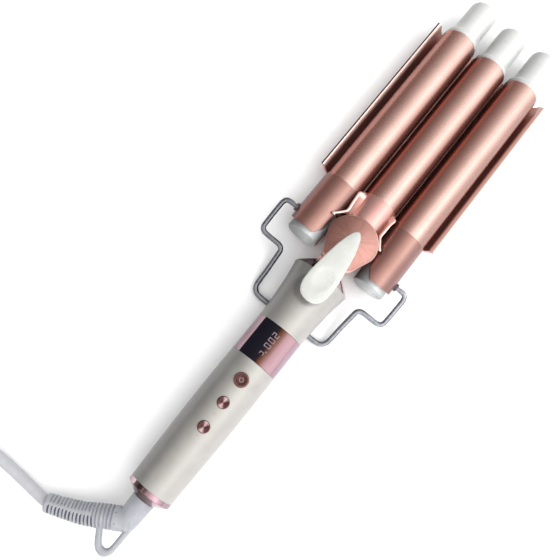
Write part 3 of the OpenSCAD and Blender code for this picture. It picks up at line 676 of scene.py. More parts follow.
# ------------------------------------------------------------------ swivel, hanging eye and strain relief
def relief():
    base = [(-4.0, -195.3, 14.9), (-6.8, -196.95, 14.4), (-9.5, -198.5, 13.9), (-12, -200.1, 13.4), (-22, -206.3, 11.3), (-32, -210.9, 9.5), (-37.5, -213.2, 8.6), (-42.6, -215.2, 7.7)]
    line, L = resample(spline(base, 12), 0.30)
    m = len(line)

    def r(i, a):
        s = i / (m - 1) * L
        big = lerp(7.15, 5.6, max(0, (s - 10.4) / (L - 10.4)))
        if s > L - 0.9:
            big -= (s - L + 0.9) ** 2 * 0.7
        p = s - 2.4                         # ribs start here
        if p < 0 or s > L - 2.2:
            return big
        ph = (p / 2.2) % 1.0
        g = max(0.0, cos(2 * pi * (ph - 0.5)))
        g = g ** 0.7
        n = int(p / 2.2)
        deg = math.degrees(a) % 360
        d = min(abs(deg - 75), abs(deg - 255))
        mask = 1.0 if n < 6 else smooth((d - 7) / 6)
        return big - 1.0 * g * mask
    v, f = sweep(line, r, 64)
    ob = make("relief_ribs", v, f, RELIEF, "swivel", ("strain_relief",), angle=50)
    # the deep slots on the outer side of the bend lie in shade
    ob.data.materials.append(GROOVE)
    ln = [V(*p) for p in line]
    fl = frames(line)
    step = L / (m - 1)
    for q in ob.data.polygons:
        c = q.center
        i = min(range(0, m, 4), key=lambda j: (ln[j] - c).length_squared)
        i = min(range(max(0, i - 4), min(m, i + 5)), key=lambda j: (ln[j] - c).length_squared)
        sp = i * step
        if sp < 14.5 or sp > L - 2.4:
            continue
        d = (c - ln[i]) * 1000
        deg = math.degrees(math.atan2(d.dot(fl[i][2]), d.dot(fl[i][1]))) % 360
        if 84 < deg < 215 and d.length < lerp(7.15, 5.6, max(0, (sp - 10.4) / (L - 10.4))) - 0.42:
            q.material_index = 1
    dots = Parts()
    fr = frames(line)
    for s, deg in ((1.5, 55), (1.5, 107)):
        i = int(s / L * (m - 1))
        p, (t, sd, up) = line[i], fr[i]
        d = cos(rad(deg)) * sd + sin(rad(deg)) * up
        q = p + d * 7.05
        e1 = t
        e2 = d.cross(t)
        ring = [[tuple(q + d * h + rr * (cos(x) * e1 + sin(x) * e2)) for x in [2 * pi * k / 16 for k in range(16)]] for h, rr in ((0.0, 0.55), (0.14, 0.5), (0.16, 0.3))]
        dots.add(loft(ring))
    make("relief_dots", dots.v, dots.f, DOT, "swivel")
    return ob


relief_ob = relief()


def swivel():
    P = Parts()
    P.add(revolve([(0, -173.8), (4.9, -173.8), (4.9, -178.6), (7.1, -178.7), (7.3, -179.1), (7.0, -185), (6.75, -190.5), (6.5, -194), (5.8, -196.6), (4.3, -198.3), (2.2, -199.1), (0, -199.3)], n=72))
    # smooth start of the relief, going into the side of the stub
    line = spline([(2.5, -191.6, 15.6), (-1, -193.6, 15.3), (-4.3, -195.5, 14.85)], 8)
    P.add(sweep(line, lambda i, a: 7.0 if i else 5.5, 64))
    # hanging eye: a chamfered bar bent round the loop
    loop = spline([(3.95, -193.5), (3.95, -201), (3.8, -208.6), (3.2, -212.4), (0.9, -214.7), (-2.2, -214.5), (-4.9, -212.5), (-8.8, -207.1), (-12.2, -202.6)] and
                  [(3.95, -193.5, 15.9), (3.95, -201, 15.9), (3.8, -208.6, 15.8), (3.2, -212.4, 15.7), (0.9, -214.7, 15.6), (-2.2, -214.5, 15.5), (-4.9, -212.5, 15.4), (-8.8, -207.1, 15.1), (-12.2, -202.6, 14.6)], 8)
    w = [1.85, 1.8, 1.7, 2.0, 2.4, 2.2, 1.9, 1.75, 1.75]
    prof = [(1, -0.45), (1, 0.45), (0.72, 0.86), (0.3, 1), (-0.3, 1), (-0.72, 0.86), (-1, 0.45), (-1, -0.45), (-0.72, -0.86), (-0.3, -1), (0.3, -1), (0.72, -0.86)]
    fr = frames(loop)
    rings = []
    for i, (p, (t, s, u)) in enumerate(zip(loop, fr)):
        j = i / 8
        ww = lerp(w[int(j)], w[min(int(j) + 1, 8)], j - int(j))
        rings.append([tuple(p + s * (a * ww) + u * (b * 2.2)) for a, b in prof])
    P.add(loft(rings))
    return make("swivel_stub", P.v, P.f, RELIEF, "swivel", ("swivel_elbow",), angle=42)


swivel()


# ------------------------------------------------------------------ plug and tie
PO, PT = (-66.0, -296.5, 6.8), rad(105)


def plug_pt(x, y, z=0.0):
    return (PO[0] + cos(PT) * x - sin(PT) * y, PO[1] + sin(PT) * x + cos(PT) * y, PO[2] + z)


def plug():
    # stations from the lead end: distance, half width, half height, squareness
    st = [(0.6, 3.7, 3.7, 2.0), (0.0, 4.4, 4.4, 2.0)]
    for k in range(6):
        y = 1.2 + k * 1.9
        st += [(-y, 4.7 + 0.12 * k, 4.7 + 0.12 * k, 2.0), (-y - 0.55, 4.7 + 0.12 * k, 4.7 + 0.12 * k, 2.0), (-y - 0.75, 3.9 + 0.12 * k, 3.9 + 0.12 * k, 2.0), (-y - 1.35, 3.9 + 0.12 * k, 3.9 + 0.12 * k, 2.0)]
    st += [(-12.9, 5.6, 5.5, 2.0), (-14.5, 6.6, 6.0, 2.1), (-17, 9.4, 6.3, 2.4), (-20, 12.9, 6.45, 2.8), (-23, 15.2, 6.5, 3.1), (-26, 15.9, 6.5, 3.3), (-33.6, 16.0, 6.5, 3.4), (-35.4, 15.8, 6.4, 3.4), (-36, 15.2, 5.9, 3.4)]
    rings = []
    for y, w, h, q in st:
        ring = []
        for k in range(56):
            a = 2 * pi * k / 56
            ca, sa = cos(a), sin(a)
            ring.append(plug_pt(w * math.copysign(abs(ca) ** (2 / q), ca), y, h * math.copysign(abs(sa) ** (2 / q), sa)))
        rings.append(ring)
    v, f = loft(rings)
    body = make("plug_shell", v, f, MAT["lead_grey"], "handle", ("plug_body",), angle=30)
    P = Parts()
    S = Parts()
    for sx in (-9.4, 9.4):
        def pin(profile, n=32):
            rr = []
            for r, y in profile:
                rr.append([plug_pt(sx + r * cos(2 * pi * k / n), y, r * sin(2 * pi * k / n)) for k in range(n)])
            return loft(rr)
        P.add(pin([(1.9, -35.5), (2.0, -45.8), (2.0, -53.4), (1.6, -54.4), (0.9, -54.9)]))
        S.add(pin([(2.02, -35.6), (2.02, -44.6), (1.95, -45.0)]))
    pins = make("plug_pin_pair", P.v, P.f, MAT["steel"], "handle", ("plug_pins",), angle=30)
    sleeves = make("plug_pin_sleeves", S.v, S.f, MAT["lead_grey"], "handle", angle=30)
    return body, pins, sleeves


plug_obs = plug()


def tie():
    c, s = cos(rad(115)), sin(rad(115))
    # outline of the strap round the wound turns, in the plane through the coil's axis
    outer = [(24.6, 0.05), (51.6, 0.05), (52.8, 0.6), (53.5, 2.6), (53.5, 6.0), (52.9, 9.4), (52.8, 12.2), (51.9, 14.4), (50.4, 15.5), (28.4, 15.6), (26.0, 14.4), (24.4, 11.2), (23.9, 6.0), (23.9, 1.2)]
    cx, cz = 38, 7.5
    n = len(outer)
    P = Parts()
    v = []
    w = 4.0
    lay = [(-w, 0.0), (-w + 0.25, 0.12), (w - 0.25, 0.12), (w, 0.0), (w, -0.55), (-w, -0.55)]
    # offset each corner of the strap inwards for its thickness
    pts = []
    sm = []
    for i in range(n):
        a, b = Vector(outer[i]), Vector(outer[(i + 1) % n])
        m_ = max(1, int((b - a).length / 1.2))
        for k in range(m_):
            sm.append(a.lerp(b, k / m_))
    m = len(sm)
    nm = []
    for i in range(m):
        d = (sm[(i + 1) % m] - sm[i - 1]).normalized()
        nm.append(Vector((d.y, -d.x)))
    for i in range(m):
        for yy, off in lay:
            q = sm[i] + nm[i] * off
            x_, y_, z_ = q.x, yy, max(0.02, q.y)
            v.append((CC[0] + c * x_ - s * y_, CC[1] + s * x_ + c * y_, z_))
    P.v = v
    P.f = tube_faces(m, len(lay), wrap=True)
    # free end of the strap, lying over itself on top
    tv = []
    tf = []
    L = [(31, 15.75), (34, 15.95), (40, 15.98), (46, 15.95), (50, 15.9), (51.2, 15.3)]
    for x_, z_ in L:
        for yy, dz in ((-3.8, -0.15), (-3.8, 0.2), (-3.5, 0.28), (3.5, 0.28), (3.8, 0.2), (3.8, -0.15)):
            tv.append((CC[0] + c * x_ - s * yy, CC[1] + s * x_ + c * yy, z_ - 0.3 + dz))
    P.add((tv, tube_faces(len(L), 6)))
    return make("lead_strap", P.v, P.f, STRAP, "handle", ("cord_tie",), angle=30)


tie_ob = tie()
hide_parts("cord_tube", "cord_coil", "cord_tail")
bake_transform(cord)


# ------------------------------------------------------------------ head, cup behind the hinge
HEAD = [(-52.4, 15.8, 15.8), (-47, 15.95, 15.85), (-42, 16.2, 15.9), (-34, 16.75, 15.9), (-25, 17.6, 15.9), (-18, 18.6, 15.9), (-12.6, 19.6, 15.85), (-11.6, 19.75, 15.75), (-11.4, 19.6, 15.6)]


def head():
    st = spline([(a, b, c) for a, b, c in HEAD], 4)
    st = [(p[0], p[1], ZC, p[2]) for p in st]
    v, f = shell(st, 0, 180, 96, 1.8)
    make("head_front_skin", v, f, MAT["pearl_plastic"], "handle", ("head_front_shell",), angle=40)
    # back half, open where the folded stand's crossbar lies
    cy = 15.5 - 59 * cos(rad(14))
    cz = ZC - 59 * sin(rad(14))
    v, f = shell(st, 180, 360, 96, 1.8)
    ob = make("head_back_skin", v, f, MAT["pearl_plastic"], "handle", ("head_back_shell",), angle=40)
    return ob, cy, cz


head_back, cross_y, cross_z = head()


def cut(ob, verts, faces):
    """Takes a closed mesh out of ob."""
    me = bpy.data.meshes.new("cutter")
    me.from_pydata([V(*p) for p in verts], [], faces)
    bm = bmesh.new()
    bm.from_mesh(me)
    bmesh.ops.recalc_face_normals(bm, faces=bm.faces)
    bm.to_mesh(me)
    bm.free()
    c = bpy.data.objects.new("cutter", me)
    SCN.collection.objects.link(c)
    mod = ob.modifiers.new("cut", "BOOLEAN")
    mod.operation = "DIFFERENCE"
    mod.solver = "EXACT"
    mod.object = c
    bpy.context.view_layer.update()
    dg = bpy.context.evaluated_depsgraph_get()
    new = bpy.data.meshes.new_from_object(ob.evaluated_get(dg))
    ob.modifiers.clear()
    old = ob.data
    ob.data = new
    new.name = old.name
    bpy.data.meshes.remove(old)
    bpy.data.objects.remove(c)
    bpy.data.meshes.remove(me)
    new.shade_smooth()
    new.set_sharp_from_angle(angle=rad(40))


# groove for the crossbar of the stand, across the back of the head
gr = []
for x_ in (-30, 30):
    prof = [(2.3, -6), (2.3, 0)] + [(2.3 * cos(a), 2.3 * sin(a)) for a in [pi * k / 12 for k in range(1, 12)]] + [(-2.3, 0), (-2.3, -6)]
    gr.append([(x_, cross_y + a, cross_z + b) for a, b in prof])
cut(head_back, *loft(gr))
P = Parts()
tr = []
for x_ in (-12.5, 12.5):
    prof = [(3.8, -1.2), (3.8, 1.3), (2.8, 3.4), (0, 4.1), (-2.8, 3.4), (-3.8, 1.3), (-3.8, -1.2), (-2.35, -1.2), (-2.35, 0.3), (-1.7, 1.75), (0, 2.4), (1.7, 1.75), (2.35, 0.3), (2.35, -1.2)]
    tr.append([(x_, cross_y + a, cross_z + b) for a, b in prof])
P.add(loft(tr))
P.add(revolve([(0, 2.1), (3.4, 2.1), (3.4, 0.25), (2.7, 0.12), (2.7, 1.6), (0, 1.6)], x=0, n=40, axis="Z", at=-30))
make("stand_trough", P.v, P.f, MAT["pearl_plastic"], "handle", angle=40)


def jaw_frame():
    """Neck, hinge ears, cup and base plate of the rear jaw."""
    P = Parts()
    # base plate: rounded outline with a chamfered edge
    half = [(8.5, -11.3), (8.5, 8), (9.2, 11), (11.2, 13.9), (14.5, 15.6), (33.4, 15.8), (35.6, 16.7), (36.6, 18.8), (36.6, 43.0), (35.8, 45.2), (33.8, 46), (0, 46)]
    outline = half + [(-a, b) for a, b in reversed(half[:-1])]

    def inset(d):
        out = []
        m = len(outline)
        for i in range(m):
            a, b, c = Vector(outline[i - 1]), Vector(outline[i]), Vector(outline[(i + 1) % m])
            n1 = Vector((-(b - a).y, (b - a).x)).normalized()
            n2 = Vector((-(c - b).y, (c - b).x)).normalized()
            nn = (n1 + n2).normalized()
            out.append(b + nn * d)
        return out
    rings = []
    for z, d in ((0.0, 0.6), (0.6, 0.0), (1.9, 0.0), (2.4, 0.5)):
        rings.append([(p.x, p.y, z) for p in inset(d)])
    P.add(loft(rings))
    # neck: a saddle that thins out under the hub
    rings = []
    for y, top, w in ((-20, 10.2, 5.4), (-11.5, 11.8, 5.6), (-11.2, 12, 8.4), (-4, 11.9, 8.5), (0, 11.5, 8.5), (4, 9.5, 8.5), (9, 6.2, 8.4), (13, 3.9, 8.2), (16, 2.4, 8.0)):
        lo = 1.2 if y > -11.3 else 3.6
        c = min(1.1, (top - lo) * 0.3)
        rings.append([(-w, y, lo), (w, y, lo), (w, y, top - c), (w - c * 0.6, y, top - 0.25 * c), (w - 1.6 * c, y, top), (-w + 1.6 * c, y, top), (-w + c * 0.6, y, top - 0.25 * c), (-w, y, top - c)])
    P.add(loft(rings))
    # ears
    for s in (-1, 1):
        ring_o = []
        n = 40
        for k in range(n):
            a = rad(-50 + 250 * k / (n - 1))
            ring_o.append((-1 + 5.4 * cos(a), 20 + 5.4 * sin(a)))
        ring_o += [(-8.6, 12.6), (-8.6, 10.5), (3.6, 10.5), (4.0, 13.5)]
        rr = []
        for x_, k in ((6.7, 0.0), (6.7, 0.25), (9.3, 0.25), (9.6, 0.0)):
            rr.append([(s * x_, -2 + (y - -2) * (1 if k else 0.955), 16 + (z - 16) * (1 if k else 0.955)) for y, z in ring_o])
        P.add(loft(rr))
    make("jaw_neck", P.v, P.f, MAT["rose_lacquer"], "handle", ("rear_frame",), angle=35)
    # cup: back half shell that closes the mouth of the head, and the sleeve that carries it
    st = [(-11.3, 19.5, 15.4), (-10.4, 18.9, 15.3), (-9, 17.6, 14.8), (-6.5, 14.9, 14.2), (-4, 11.9, 13.2), (-2.4, 9.9, 12.5)]
    v, f = shell([(a, b, ZC, c) for a, b, c in [tuple(p) for p in spline(st, 4)]], 175, 365, 80, 1.3)
    P = Parts().add((v, f))
    rim = [(tuple(p)[0], tuple(p)[1]) for p in spline([(a, b, c) for a, b, c in st], 4) if tuple(p)[0] < -4.5]
    for sd in (-1, 1):
        base = [(sd * (w - 0.5), y) for y, w in rim] + [(sd * 9.8, rim[-1][0]), (sd * 9.8, rim[0][0])]
        P.add(loft([[(a, b, z) for a, b in base] for z in (14.4, 15.6)]))
    ob = make("jaw_cup", P.v, P.f, CUP, "handle", angle=40)
    st = [(-22, 15.9, ZC, 13.7), (-15, 16.8, ZC, 13.8), (-11.2, 17.6, ZC, 13.8)]
    v, f = shell(st, 0, 360, 96, 1.2)
    make("jaw_sleeve", v, f, ROSE_IN, "handle", angle=40)


jaw_frame()


# ------------------------------------------------------------------ back plate with its two wings
def plate():
    p = [(14.4 * sin(rad(a)), ZC - 14.4 * cos(rad(a))) for a in range(0, 49, 3)]
    p += [(11.6, 7.2), (12.4, 7.75), (13.25, 7.9), (14.1, 7.75), (14.9, 7.2)]
    p += [(26.5 - 14.4 * sin(rad(a)), ZC - 14.4 * cos(rad(a))) for a in range(48, 0, -3)]
    p += [(26.5, ZC - 14.4)]
    # wing: leaves the barrel's curve and stands up beside it
    p += [(26.5 + 17.2 * sin(rad(a)), 18.8 - 17.2 * cos(rad(a))) for a in range(4, 65, 4)]
    p += [(42.3, 12.6), (42.7, 13.9), (43.15, 14.6), (43.8, 15.1), (44.6, 15.5), (45.35, 15.85)]
    half = [Vector(q) for q in p]
    m = len(half)
    nm = []
    for i in range(m):
        d = (half[min(i + 1, m - 1)] - half[max(i - 1, 0)]).normalized()
        nm.append(Vector((0, -1)) if i == 0 else Vector((d.y, -d.x)))
    outer = [half[i] + 1.6 * nm[i] for i in range(m)]
    # rounded lip at the wing's edge
    a, b = half[-1], outer[-1]
    mid, u = (a + b) / 2, (b - a) / 2
    w = Vector((-u.y, u.x))
    lip = [mid + cos(rad(t)) * -u + sin(rad(t)) * w for t in (25, 55, 90, 125, 155)]
    loop = half[1:] + lip + list(reversed(outer)) + [Vector((-q.x, q.y)) for q in outer[1:]] + [Vector((-q.x, q.y)) for q in reversed(lip)] + [Vector((-q.x, q.y)) for q in reversed(half[1:])] + [half[0]]
    rings = []
    for y, d in ((48.7, 0.0), (49.0, 0.0), (60, 0.0), (90, 0.0), (120, 0.0), (150, 0.0), (178.5, 0.0), (178.8, 0.0)):
        rings.append([(q.x, y, max(0.02, q.y)) for q in loop])
    v, f = loft(rings)
    P = Parts().add((v, f))
    for s in (-1, 1):
        rr = []
        for z in (2.4, 3.5):
            rr.append([(s * 19, 16.5, z), (s * 34, 16.5, z), (s * 34, 51.5, z), (s * 19, 51.5, z)])
        P.add(loft(rr))
    ob = make("jaw_plate", P.v, P.f, PLATE, "handle", ("back_plate",), angle=35)
    # painted highlight: the rolled edges of the wings take a lighter copy of the rose finish; painted shade: the left
    # wing's outer edge takes the dark metal, and the outer and under faces a darker copy
    ob.data.materials.append(LIP)
    ob.data.materials.append(BOSS)
    ob.data.materials.append(PLATE_SHADED)
    for q in ob.data.polygons:
        c = q.center
        if c.x < -0.0453 and c.z > 0.013:
            q.material_index = 2
        elif abs(c.x) > 0.0425 and c.z > 0.0139 and q.normal.z > -0.1:
            q.material_index = 1
        elif q.normal.z < -0.05 or q.normal.x * c.x > 1e-5:
            q.material_index = 3
    return ob


plate()


# ------------------------------------------------------------------ hub of the clamp, with its flared lips
def hub():
    P = Parts()
    # body as wide as a barrel, narrowing to the hinge
    st = [(5.0, 8.6, 20.4, 6.0), (7.0, 9.4, 19.9, 7.4), (10, 10.3, 19.0, 9.0), (14, 11.4, 17.8, 10.8), (18, 12.3, 16.7, 12.1), (21, 12.7, 16.1, 12.6), (24, 12.8, 16, 12.8), (33.6, 12.9, 16, 12.9)]
    rings = []
    for y, rx, zc, rz in [tuple(q) for q in [Vector(s) if False else s for s in st]]:
        rings.append([(rx * cos(2 * pi * k / 72), y, zc + rz * sin(2 * pi * k / 72)) for k in range(72)])
    P.add(loft(rings))
    P.add(revolve([(1.6, -6.3), (5.6, -6.3), (6.0, -5.9), (6.0, 5.9), (5.6, 6.3), (1.6, 6.3), (1.6, -6.3)], z=20, n=64, axis="X", at=-1))
    # web between the knuckle and the disc
    rr = []
    for x_ in (-6.2, 6.2):
        rr.append([(x_, -3.4, 21.5), (x_, -3.4, 27), (x_, -1.6, 32.6), (x_, 2, 33.6), (x_, 9, 33), (x_, 9, 14.5), (x_, 3, 15)])
    P.add(loft(rr))
    # collar: one surface with the body, thinning towards the barrel
    P.add(revolve([(12.6, 33.2), (12.95, 33.4), (13.0, 36), (12.95, 44), (12.82, 48), (12.68, 50.0), (12.62, 50.35), (12.45, 50.35), (12.45, 33.2), (12.6, 33.2)], n=96))
    return P


def disc():
    """The round face that the thumb lever lies on: a shallow cone with a soft edge and a wall under it."""
    cy = 15.9
    # outline radius round (0, cy) by direction, 0 degrees towards the tips
    tab = [(0, 17.2), (15, 17.3), (30, 17.5), (45, 17.6), (60, 17.55), (75, 17.4), (90, 17.0), (100, 16.45), (109, 16.1), (118, 16.15), (127, 16.6), (135, 17.5), (143, 18.6), (150, 19.5), (156, 19.8), (162, 19.6), (170, 19.1), (180, 18.9)]
    n = 128
    prof = [(0.0, 33.7, 0), (0.12, 33.65, 0), (0.3, 33.3, 0), (0.5, 32.55, 0), (0.7, 31.5, 0), (0.86, 30.5, 0), (0.95, 29.8, 0), (0.985, 29.35, 0), (1.0, 28.7, 0), (0.995, 27.4, 0), (0.965, 25.2, 0), (0.90, 22.4, 0), (0.80, 20.2, 0), (0.6, 19.0, 0), (0.0, 18.6, 0)]
    v, f, rings = [], [], []
    for q, z, _ in prof:
        ids = []
        for k in range(n if q > 0 else 1):
            a = 2 * pi * k / n
            deg = math.degrees(a)
            deg = deg if deg <= 180 else 360 - deg
            R = table(tab, deg)
            x_, y_ = q * R * sin(a), cy + q * R * cos(a)
            zz = z
            # the far side sits lower on the collar's round back, the near side higher over the hinge
            zz += 0.35 * q * max(0, -cos(a)) - 0.2 * q * max(0, cos(a))
            if z < 28.9 and y_ > 24:
                zz = max(zz, 24.0)
            v.append((x_, y_, zz))
            ids.append(len(v) - 1)
        rings.append(ids)
    for A, B in zip(rings, rings[1:]):
        for k in range(n):
            a0, a1 = A[k % len(A)], A[(k + 1) % len(A)]
            b0, b1 = B[k % len(B)], B[(k + 1) % len(B)]
            q = [a0, a1, b1, b0]
            q = [i for j, i in enumerate(q) if i not in q[:j]]
            if len(q) > 2:
                f.append(tuple(q))
    return v, f


LIP_L = [(22.9, 20.8, 29.6, 28.4, 2.4), (23.8, 21.1, 29.6, 28.3, 2.2), (25.2, 19.4, 29.5, 28.0, 2.0), (28.0, 17.0, 29.1, 26.8, 1.9), (30.4, 15.2, 28.6, 24.9, 1.8), (32.4, 15.0, 28.2, 22.4, 1.8),
         (35, 15.3, 27.9, 19.8, 1.8), (38, 15.6, 27.6, 19.2, 1.8), (42, 15.9, 27.2, 19.0, 1.8), (45, 16.1, 26.6, 19.0, 1.8), (46.4, 15.7, 25.9, 19.0, 1.8), (48.4, 13.9, 23.8, 18.8, 1.7), (49.8, 12.6, 21.6, 18.4, 1.4)]
LIP_R = [(23.0, 17.5, 29.6, 28.4, 2.4), (23.8, 17.7, 29.6, 28.3, 2.2), (25.4, 16.3, 29.4, 27.6, 2.0), (28.0, 14.6, 28.9, 26.2, 1.9), (30.4, 13.0, 28.4, 24.4, 1.8), (32.4, 12.8, 28.0, 21.6, 1.8),
         (35, 12.9, 27.7, 19.8, 1.8), (38, 13.0, 27.4, 19.2, 1.8), (42, 13.2, 27.0, 19.0, 1.8), (45, 13.9, 26.4, 19.0, 1.8), (46.4, 13.8, 25.7, 19.0, 1.8), (48.4, 12.3, 23.6, 18.8, 1.7), (49.6, 11.7, 21.8, 18.4, 1.4)]


def lips():
    """Folded edges that run from the flare beside the disc along the middle barrel."""
    P = Parts()
    for s, st, lean0 in ((-1, LIP_L, 3.0), (1, LIP_R, 1.3)):
        rings = []
        for y, x_, top, bot, w in st:
            lean = min(lean0, (top - bot) * 0.36)
            xi = x_ - w
            mid = max(bot + 0.3, top - 3.4)
            t = smooth((y - 28.5) / 3.0)
            # the inner face runs down to the round of the collar
            bx, bz = lerp(xi - 0.1, 10.1, t), lerp(bot + 0.15, min(24.1, top - 0.9), t)
            rings.append([(s * (x_ - lean), y, bot), (s * x_, y, mid), (s * x_, y, top - 0.5), (s * (x_ - 0.22), y, top - 0.14), (s * (x_ - 0.6), y, top), (s * (xi + 0.5), y, top), (s * (xi + 0.12), y, top - 0.18), (s * xi, y, top - 0.5),
                          (s * bx, y, bz), (s * min(bx, x_ - lean - 0.4), y, bot)])
        P.add(loft(rings))
    return P


HB = hub()
make("clamp_saddle", HB.v, HB.f, MAT["rose_lacquer"], "clamp", ("clamp_hub", "middle_collar"), angle=38)
LP = lips()
# painted highlight: the lips take the lighter copy of the rose finish
make("clamp_lips", LP.v, LP.f, LIP, "clamp", angle=38)
DV, DF = disc()
DC = make("clamp_disc", DV, DF, DISC, "clamp", angle=38)
# painted highlight: the outer rings of the disc take the lighter rim copy
DC.data.materials.append(DISC_RIM_PAINTED_HIGHLIGHT)
for k in range(6 * 128, 8 * 128):
    DC.data.polygons[k].material_index = 1


# ------------------------------------------------------------------ thumb lever
def lever():
    plan = [(-32.1, 0.0), (-32.0, 1.2), (-31.6, 3.2), (-30.7, 5.2), (-29.4, 6.7), (-27, 8.1), (-23.3, 9.15), (-17.3, 9.4), (-11.2, 8.9), (-5, 8.25), (1.2, 7.45), (8, 6.45), (14.6, 5.0), (19.4, 3.5), (21.7, 2.4), (22.9, 1.4), (23.3, 0.6), (23.4, 0.0)]
    top = [(23.4, 32.6), (22.6, 33.3), (20, 34.5), (14.6, 36.4), (8, 38.3), (1.2, 39.8), (-5, 40.7), (-11, 40.9), (-17, 40.6), (-23, 40.8), (-28, 41.8), (-31.2, 42.7), (-32.1, 42.9)]
    under = [(-32.1, 41.2), (-28, 39.9), (-20, 38.3), (-10, 37.6), (0, 36.6), (1.5, 35), (8, 34.2), (14.6, 33.1), (23.4, 31)]
    Y = []
    m = 110
    for i in range(m + 1):
        t = 0.5 - 0.5 * cos(pi * i / m)
        Y.append(lerp(-32.1, 23.4, 0.25 * i / m + 0.75 * t))
    # outline as a dense line, for the distance to the edge
    half = [(table([(a, b) for a, b in plan], y), y) for y in Y]
    ts = [sin(pi / 2 * (k / 14)) for k in range(-14, 15)]
    n = len(ts)

    def edge(x, y):
        best = 9.0
        for (wa, ya), (wb, yb) in zip(half, half[1:]):
            if min(abs(ya - y), abs(yb - y)) > 3:
                continue
            a, b, p = Vector((wa, ya)), Vector((wb, yb)), Vector((abs(x), y))
            d = b - a
            t = max(0, min(1, (p - a).dot(d) / max(1e-9, d.length_squared)))
            best = min(best, (a + d * t - p).length)
        return best
    v, f = [], []
    for i, y in enumerate(Y):
        w = max(0.02, half[i][0])
        for t in ts:
            x = w * t
            z = table(top, y) - 0.7 * t * t
            # thumb dish
            q = x * x + (y + 16) ** 2
            if q < 30.3 ** 2:
                z = min(z, 70.0 - sqrt(30.3 ** 2 - q) + 0.0)
            d = edge(x, y)
            if d < 1.0:
                z -= 1.0 - sqrt(max(0.0, 1 - (1 - d) ** 2))
            elif d < 1.9:
                z -= 0.12 * sin(pi * (d - 1.0) / 0.9)
            v.append((x, y, z))
    for i, y in enumerate(Y):
        w = max(0.02, half[i][0])
        for t in ts:
            v.append((w * t * 0.985, y, min(table(under, y), v[i * n][2] - 0.4)))
    mm = len(Y)
    o = mm * n
    for i in range(mm - 1):
        for k in range(n - 1):
            a = i * n + k
            f.append((a, a + 1, a + n + 1, a + n))
            f.append((o + a + 1, o + a, o + a + n, o + a + n + 1))
        a, b = i * n, i * n + n - 1
        f.append((a, a + n, o + a + n, o + a))
        f.append((b + n, b, o + b, o + b + n))
    for k in range(n - 1):
        f.append((k + 1, k, o + k, o + k + 1))
        a = (mm - 1) * n + k
        f.append((a, a + 1, o + a + 1, o + a))
    return make("lever_skin", v, f, LEVER, "clamp", ("thumb_lever",), angle=50)


lever()


# ------------------------------------------------------------------ stand
def stand():
    bail = [(-43.4, 0), (-46, 0), (-48.1, 0.8), (-49, 2.8), (-49.3, 6), (-49.2, 20), (-48.7, 23.2), (-46.8, 24.9), (-43.6, 25.4), (-35.4, 25.5), (-32.6, 26.1), (-31.1, 27.8), (-30.7, 30.6),
            (-29.8, 42), (-29.3, 52), (-28.5, 55.6), (-26.4, 58), (-23, 59), (-10, 59.1)]
    allp = bail + [(-a, b) for a, b in reversed(bail)]
    t = rad(14)
    pts = [(a, 15.5 - b * cos(t), ZC - b * sin(t)) for a, b in allp]
    line, L = resample(spline(pts, 6), 1.1)
    P = Parts().add(sweep(line, 1.7, 20))
    for s in (-1, 1):
        v, f = revolve([(0, s * 40.3), (1.5, s * 40.3), (1.5, s * 44.4), (0, s * 44.4)], z=ZC, n=24, axis="X", at=15.5)
        P.add((v, f))
    make("stand_bail", P.v, P.f, STAND_STEEL_PAINTED_HIGHLIGHT, "stand", ("stand_wire",), angle=60)


stand()


# ------------------------------------------------------------------ keys, marks and display
GRIP = [(-78.3, 15.8), (-90, 15.95), (-100, 16), (-112, 15.9), (-127, 15.7), (-150, 15.1), (-171.1, 14.5)]


def arc_ridge(r, w, h, z, y, a0, a1, n=40):
    """Low raised arc on a key."""
    rings = []
    for k in range(n + 1):
        a = rad(lerp(a0, a1, k / n))
        c, s = cos(a), sin(a)
        rings.append([((r + d) * c, y + (r + d) * s, z + hh) for d, hh in ((-w / 2, -0.1), (-w / 2, h * 0.6), (-w / 4, h), (w / 4, h), (w / 2, h * 0.6), (w / 2, -0.1))])
    return loft(rings)


